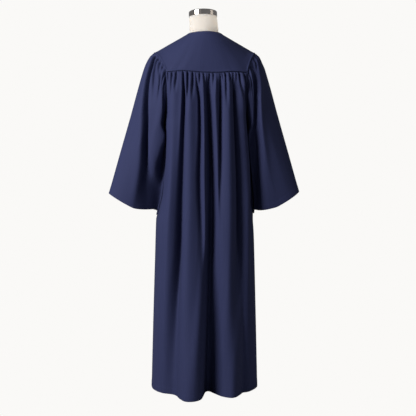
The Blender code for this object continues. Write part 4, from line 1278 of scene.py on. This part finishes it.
def coil_nylon():
    """Satin navy nylon of the teeth."""
    material, tree, shader = new_material("coil_nylon", (0.010, 0.013, 0.038), roughness=0.35)
    haze = noise(tree, on_object(tree), scale=900)
    two_tone(tree, shader, haze, dark=(0.008, 0.010, 0.030), light=(0.014, 0.017, 0.046))
    raised(tree, shader, haze, strength=0.1, distance=0.00005)
    return material


def plated_zip_metal():
    """Nickel plate with faint tumbling marks."""
    material, tree, shader = new_material("plated_zip_metal", (0.55, 0.54, 0.52), roughness=0.28,
                                          metallic=1.0)
    marks = noise(tree, on_object(tree), scale=700, detail=4)
    two_tone(tree, shader, marks, dark=(0.48, 0.47, 0.46), light=(0.60, 0.59, 0.57))
    raised(tree, shader, marks, strength=0.12, distance=0.00004)
    return material


def cream_linen():
    """Cream linen cover: plain weave with thicker threads here and there."""
    material, tree, shader = new_material("cream_linen", (0.62, 0.58, 0.52), roughness=0.85)
    place = on_object(tree)
    threads = higher_of(tree, *(noise(tree, stretched(tree, place, way), scale=1, detail=3)
                                for way in ((120, 120, 900), (900, 900, 140))))
    two_tone(tree, shader, threads, dark=(0.400, 0.372, 0.338), light=(0.450, 0.424, 0.392))
    raised(tree, shader, threads, strength=0.35, distance=0.0003)
    fill(shader, {"Subsurface Weight": 0.7, "Subsurface Radius": (1.0, 0.85, 0.70),
                  "Subsurface Scale": 0.035})
    return material


def polished_cap_steel():
    """Turned and polished steel, with faint rings and hand marks."""
    material, tree, shader = new_material("polished_cap_steel", (0.70, 0.68, 0.66), roughness=0.16,
                                          metallic=1.0)
    place = on_object(tree)
    rings = noise(tree, stretched(tree, place, (20, 20, 1500)), scale=1, detail=2)
    smear = noise(tree, place, scale=45, detail=4)
    two_tone(tree, shader, smear, dark=(0.49, 0.435, 0.39), light=(0.57, 0.515, 0.47))
    raised(tree, shader, rings, strength=0.02, distance=0.00002)
    rough = added(tree, "MapRange", {"To Min": 0.07, "To Max": 0.11})
    link(tree, smear, rough.inputs["Value"])
    link(tree, rough.outputs["Result"], shader.inputs["Roughness"])
    return material


def brushed_stand_steel():
    """Satin steel of the pole and the foot."""
    material, tree, shader = new_material("brushed_stand_steel", (0.50, 0.50, 0.50), roughness=0.36,
                                          metallic=1.0)
    brushing = noise(tree, stretched(tree, on_object(tree), (900, 900, 12)), scale=1, detail=3)
    two_tone(tree, shader, brushing, dark=(0.44, 0.44, 0.44), light=(0.56, 0.56, 0.555))
    raised(tree, shader, brushing, strength=0.15, distance=0.00008)
    return material


# ------------------------------------------------------------- light, camera
BACKDROP = (0.956, 0.947, 0.930)


def plain_to_the_eye(tree, lit, seen, surface):
    """Shows the camera one shader, seen, and lights the scene by another, lit."""
    path = added(tree, "LightPath")
    choose = added(tree, "MixShader")
    link(tree, path.outputs["Is Camera Ray"], choose.inputs["Fac"])
    link(tree, lit, choose.inputs[1])
    link(tree, seen, choose.inputs[2])
    link(tree, choose.outputs["Shader"], surface)


def build_world():
    world = bpy.data.worlds.new("studio")
    bpy.context.scene.world = world
    world.use_nodes = True
    tree = world.node_tree
    lit = tree.nodes["Background"]
    fill(lit, {"Color": (0.90, 0.94, 1.0, 1), "Strength": 0.24})
    seen = added(tree, "Background", {"Color": (*BACKDROP, 1)})
    plain_to_the_eye(tree, lit.outputs["Background"], seen.outputs["Background"],
                     tree.nodes["World Output"].inputs["Surface"])


def build_floor():
    bpy.ops.mesh.primitive_plane_add(size=60, location=(0, 0, 0))
    floor = bpy.context.object
    floor.name = "studio_floor"
    material = bpy.data.materials.new("studio_floor")
    material.use_nodes = True
    tree = material.node_tree
    tree.nodes.remove(tree.nodes["Principled BSDF"])
    lit = added(tree, "BsdfDiffuse", {"Color": (0.35, 0.35, 0.36, 1)})
    seen = added(tree, "Emission", {"Color": (*BACKDROP, 1)})
    plain_to_the_eye(tree, lit.outputs["BSDF"], seen.outputs["Emission"],
                     tree.nodes["Material Output"].inputs["Surface"])
    floor.data.materials.append(material)


def aimed(name, lamp, place, aim):
    """Puts a lamp at a place, turned towards another."""
    made = placed(name, lamp)
    made.location = place
    made.rotation_euler = (Vector(aim) - Vector(place)).to_track_quat("-Z", "Y").to_euler()


def area_light(name, place, aim, size, power, colour, spread=180):
    lamp = bpy.data.lights.new(name, "AREA")
    lamp.shape = "RECTANGLE"
    lamp.size, lamp.size_y = size
    lamp.energy = power
    lamp.color = colour
    lamp.spread = math.radians(spread)
    aimed(name, lamp, place, aim)


def build_lights():
    area_light("key_softbox", place=(-3.15, -2.30, 2.5), aim=(0, 0, 1.7), size=(1.8, 1.8), power=190,
               colour=(1.0, 0.98, 0.96), spread=135)
    area_light("fill_panel", place=(3.4, -1.7, 1.8), aim=(0, 0, 0.9), size=(1.2, 2.2), power=16,
               colour=(1.0, 0.96, 0.90))
    neck = bpy.data.lights.new("neck_snoot", "SPOT")
    neck.spot_size = math.radians(7.0)
    neck.spot_blend = 0.7
    neck.shadow_soft_size = 0.05
    neck.energy = 95
    neck.color = (1.0, 0.93, 0.84)
    aimed("neck_snoot", neck, place=(1.25, -0.85, 1.64), aim=(0.03, 0, 1.474))


def build_camera():
    lens = bpy.data.cameras.new("view_from_behind")
    lens.lens = 84
    lens.sensor_width = 36
    camera = placed("view_from_behind", lens)
    camera.location = (-0.3849, -3.7805, 1.2)
    camera.rotation_euler = (math.radians(83), 0, math.radians(-6))
    bpy.context.scene.camera = camera


# ------------------------------------------------------------- build
def build_robe():
    """The sewn cloth pieces, the neck binding and its stitching, and the zip."""
    weave = navy_weave()
    thread = navy_thread()
    yokes = {side: yoke(side) for side in (-1, 0, 1)}
    panels = {side: panel(side) for side in (-1, 0, 1)}
    grids = {"back_yoke": yokes[0], "front_yoke_left": yokes[-1], "front_yoke_right": yokes[1],
             "back_panel": panels[0], "front_left": panels[-1], "front_right": panels[1]}
    pieces = {}
    for name, grid in grids.items():
        shaped = rolled_edge(grid.copy()) if "yoke" in name else grid
        pieces[name] = cloth(f"{name}_cloth", shaped, weave)
    for side, name in ((-1, "sleeve_left"), (1, "sleeve_right")):
        pieces[name] = cloth(f"{name}_cloth", sleeve(side), weave, closed=True)
    for name, piece in pieces.items():
        dress(piece, "robe_cloth", name)
    strip, face = neck_binding(yokes)
    pieces["neck_binding"] = cloth("neck_binding_cloth", strip, weave, thick=BINDING_CLOTH)
    dress(pieces["neck_binding"], "binding_cloth", "neck_binding")
    row = strip[BINDING_STITCH_ROW] + face * STITCH_LIFT
    dress(stitching("neck_binding_stitches", row, face, thread), "binding_cloth")
    build_zip(yokes, panels, pieces, thread)


def build_zip(yokes, panels, pieces, thread):
    """Tapes, teeth, slider, pull tab and the fronts' topstitching."""
    tape, nylon, metal = woven_tape(), coil_nylon(), plated_zip_metal()
    for side, name in ((-1, "left"), (1, "right")):
        edge, near, face = front_edge(yokes, panels, side)
        strip = zip_tape(edge, near, face, side)
        pieces[f"zip_tape_{name}"] = cloth(f"zip_tape_{name}_cloth", strip, tape, thick=TAPE_CLOTH)
        dress(pieces[f"zip_tape_{name}"], "zip_tape_cloth", f"zip_tape_{name}")
        line = edge + unit(near - edge) * TOPSTITCH_AT + face * STITCH_LIFT
        dress(stitching(f"front_{name}_topstitching", line, face, thread), "robe_cloth")
    edge, _, face = front_edge(yokes, panels, 1)
    dress(zip_teeth(edge, face, nylon), "zip_nylon", "zip_coil")
    slider = bevelled_copy("zip_slider", "zip_slider_body", SLIDER_ROUND, metal)
    dress(slider, "zip_metal", "zip_slider")
    tab = bevelled_copy("zip_pull", "zip_pull_tab", TAB_ROUND, metal)
    dress(tab, "zip_metal", "zip_pull", body=TAB_BODY)


def build_form():
    """Linen torso, polished cap, and the plain stand inside the robe."""
    dress(linen_torso(cream_linen()), "form_linen", "form_torso")
    bpy.data.objects["form_neck_cap"].material_slots[0].material = polished_cap_steel()
    brushed = brushed_stand_steel()
    for node in ("form_pole", "form_base"):
        bpy.data.objects[node].material_slots[0].material = brushed


bpy.context.scene.view_settings.view_transform = "Standard"
build_camera()
build_world()
build_floor()
build_lights()
build_robe()
build_form()
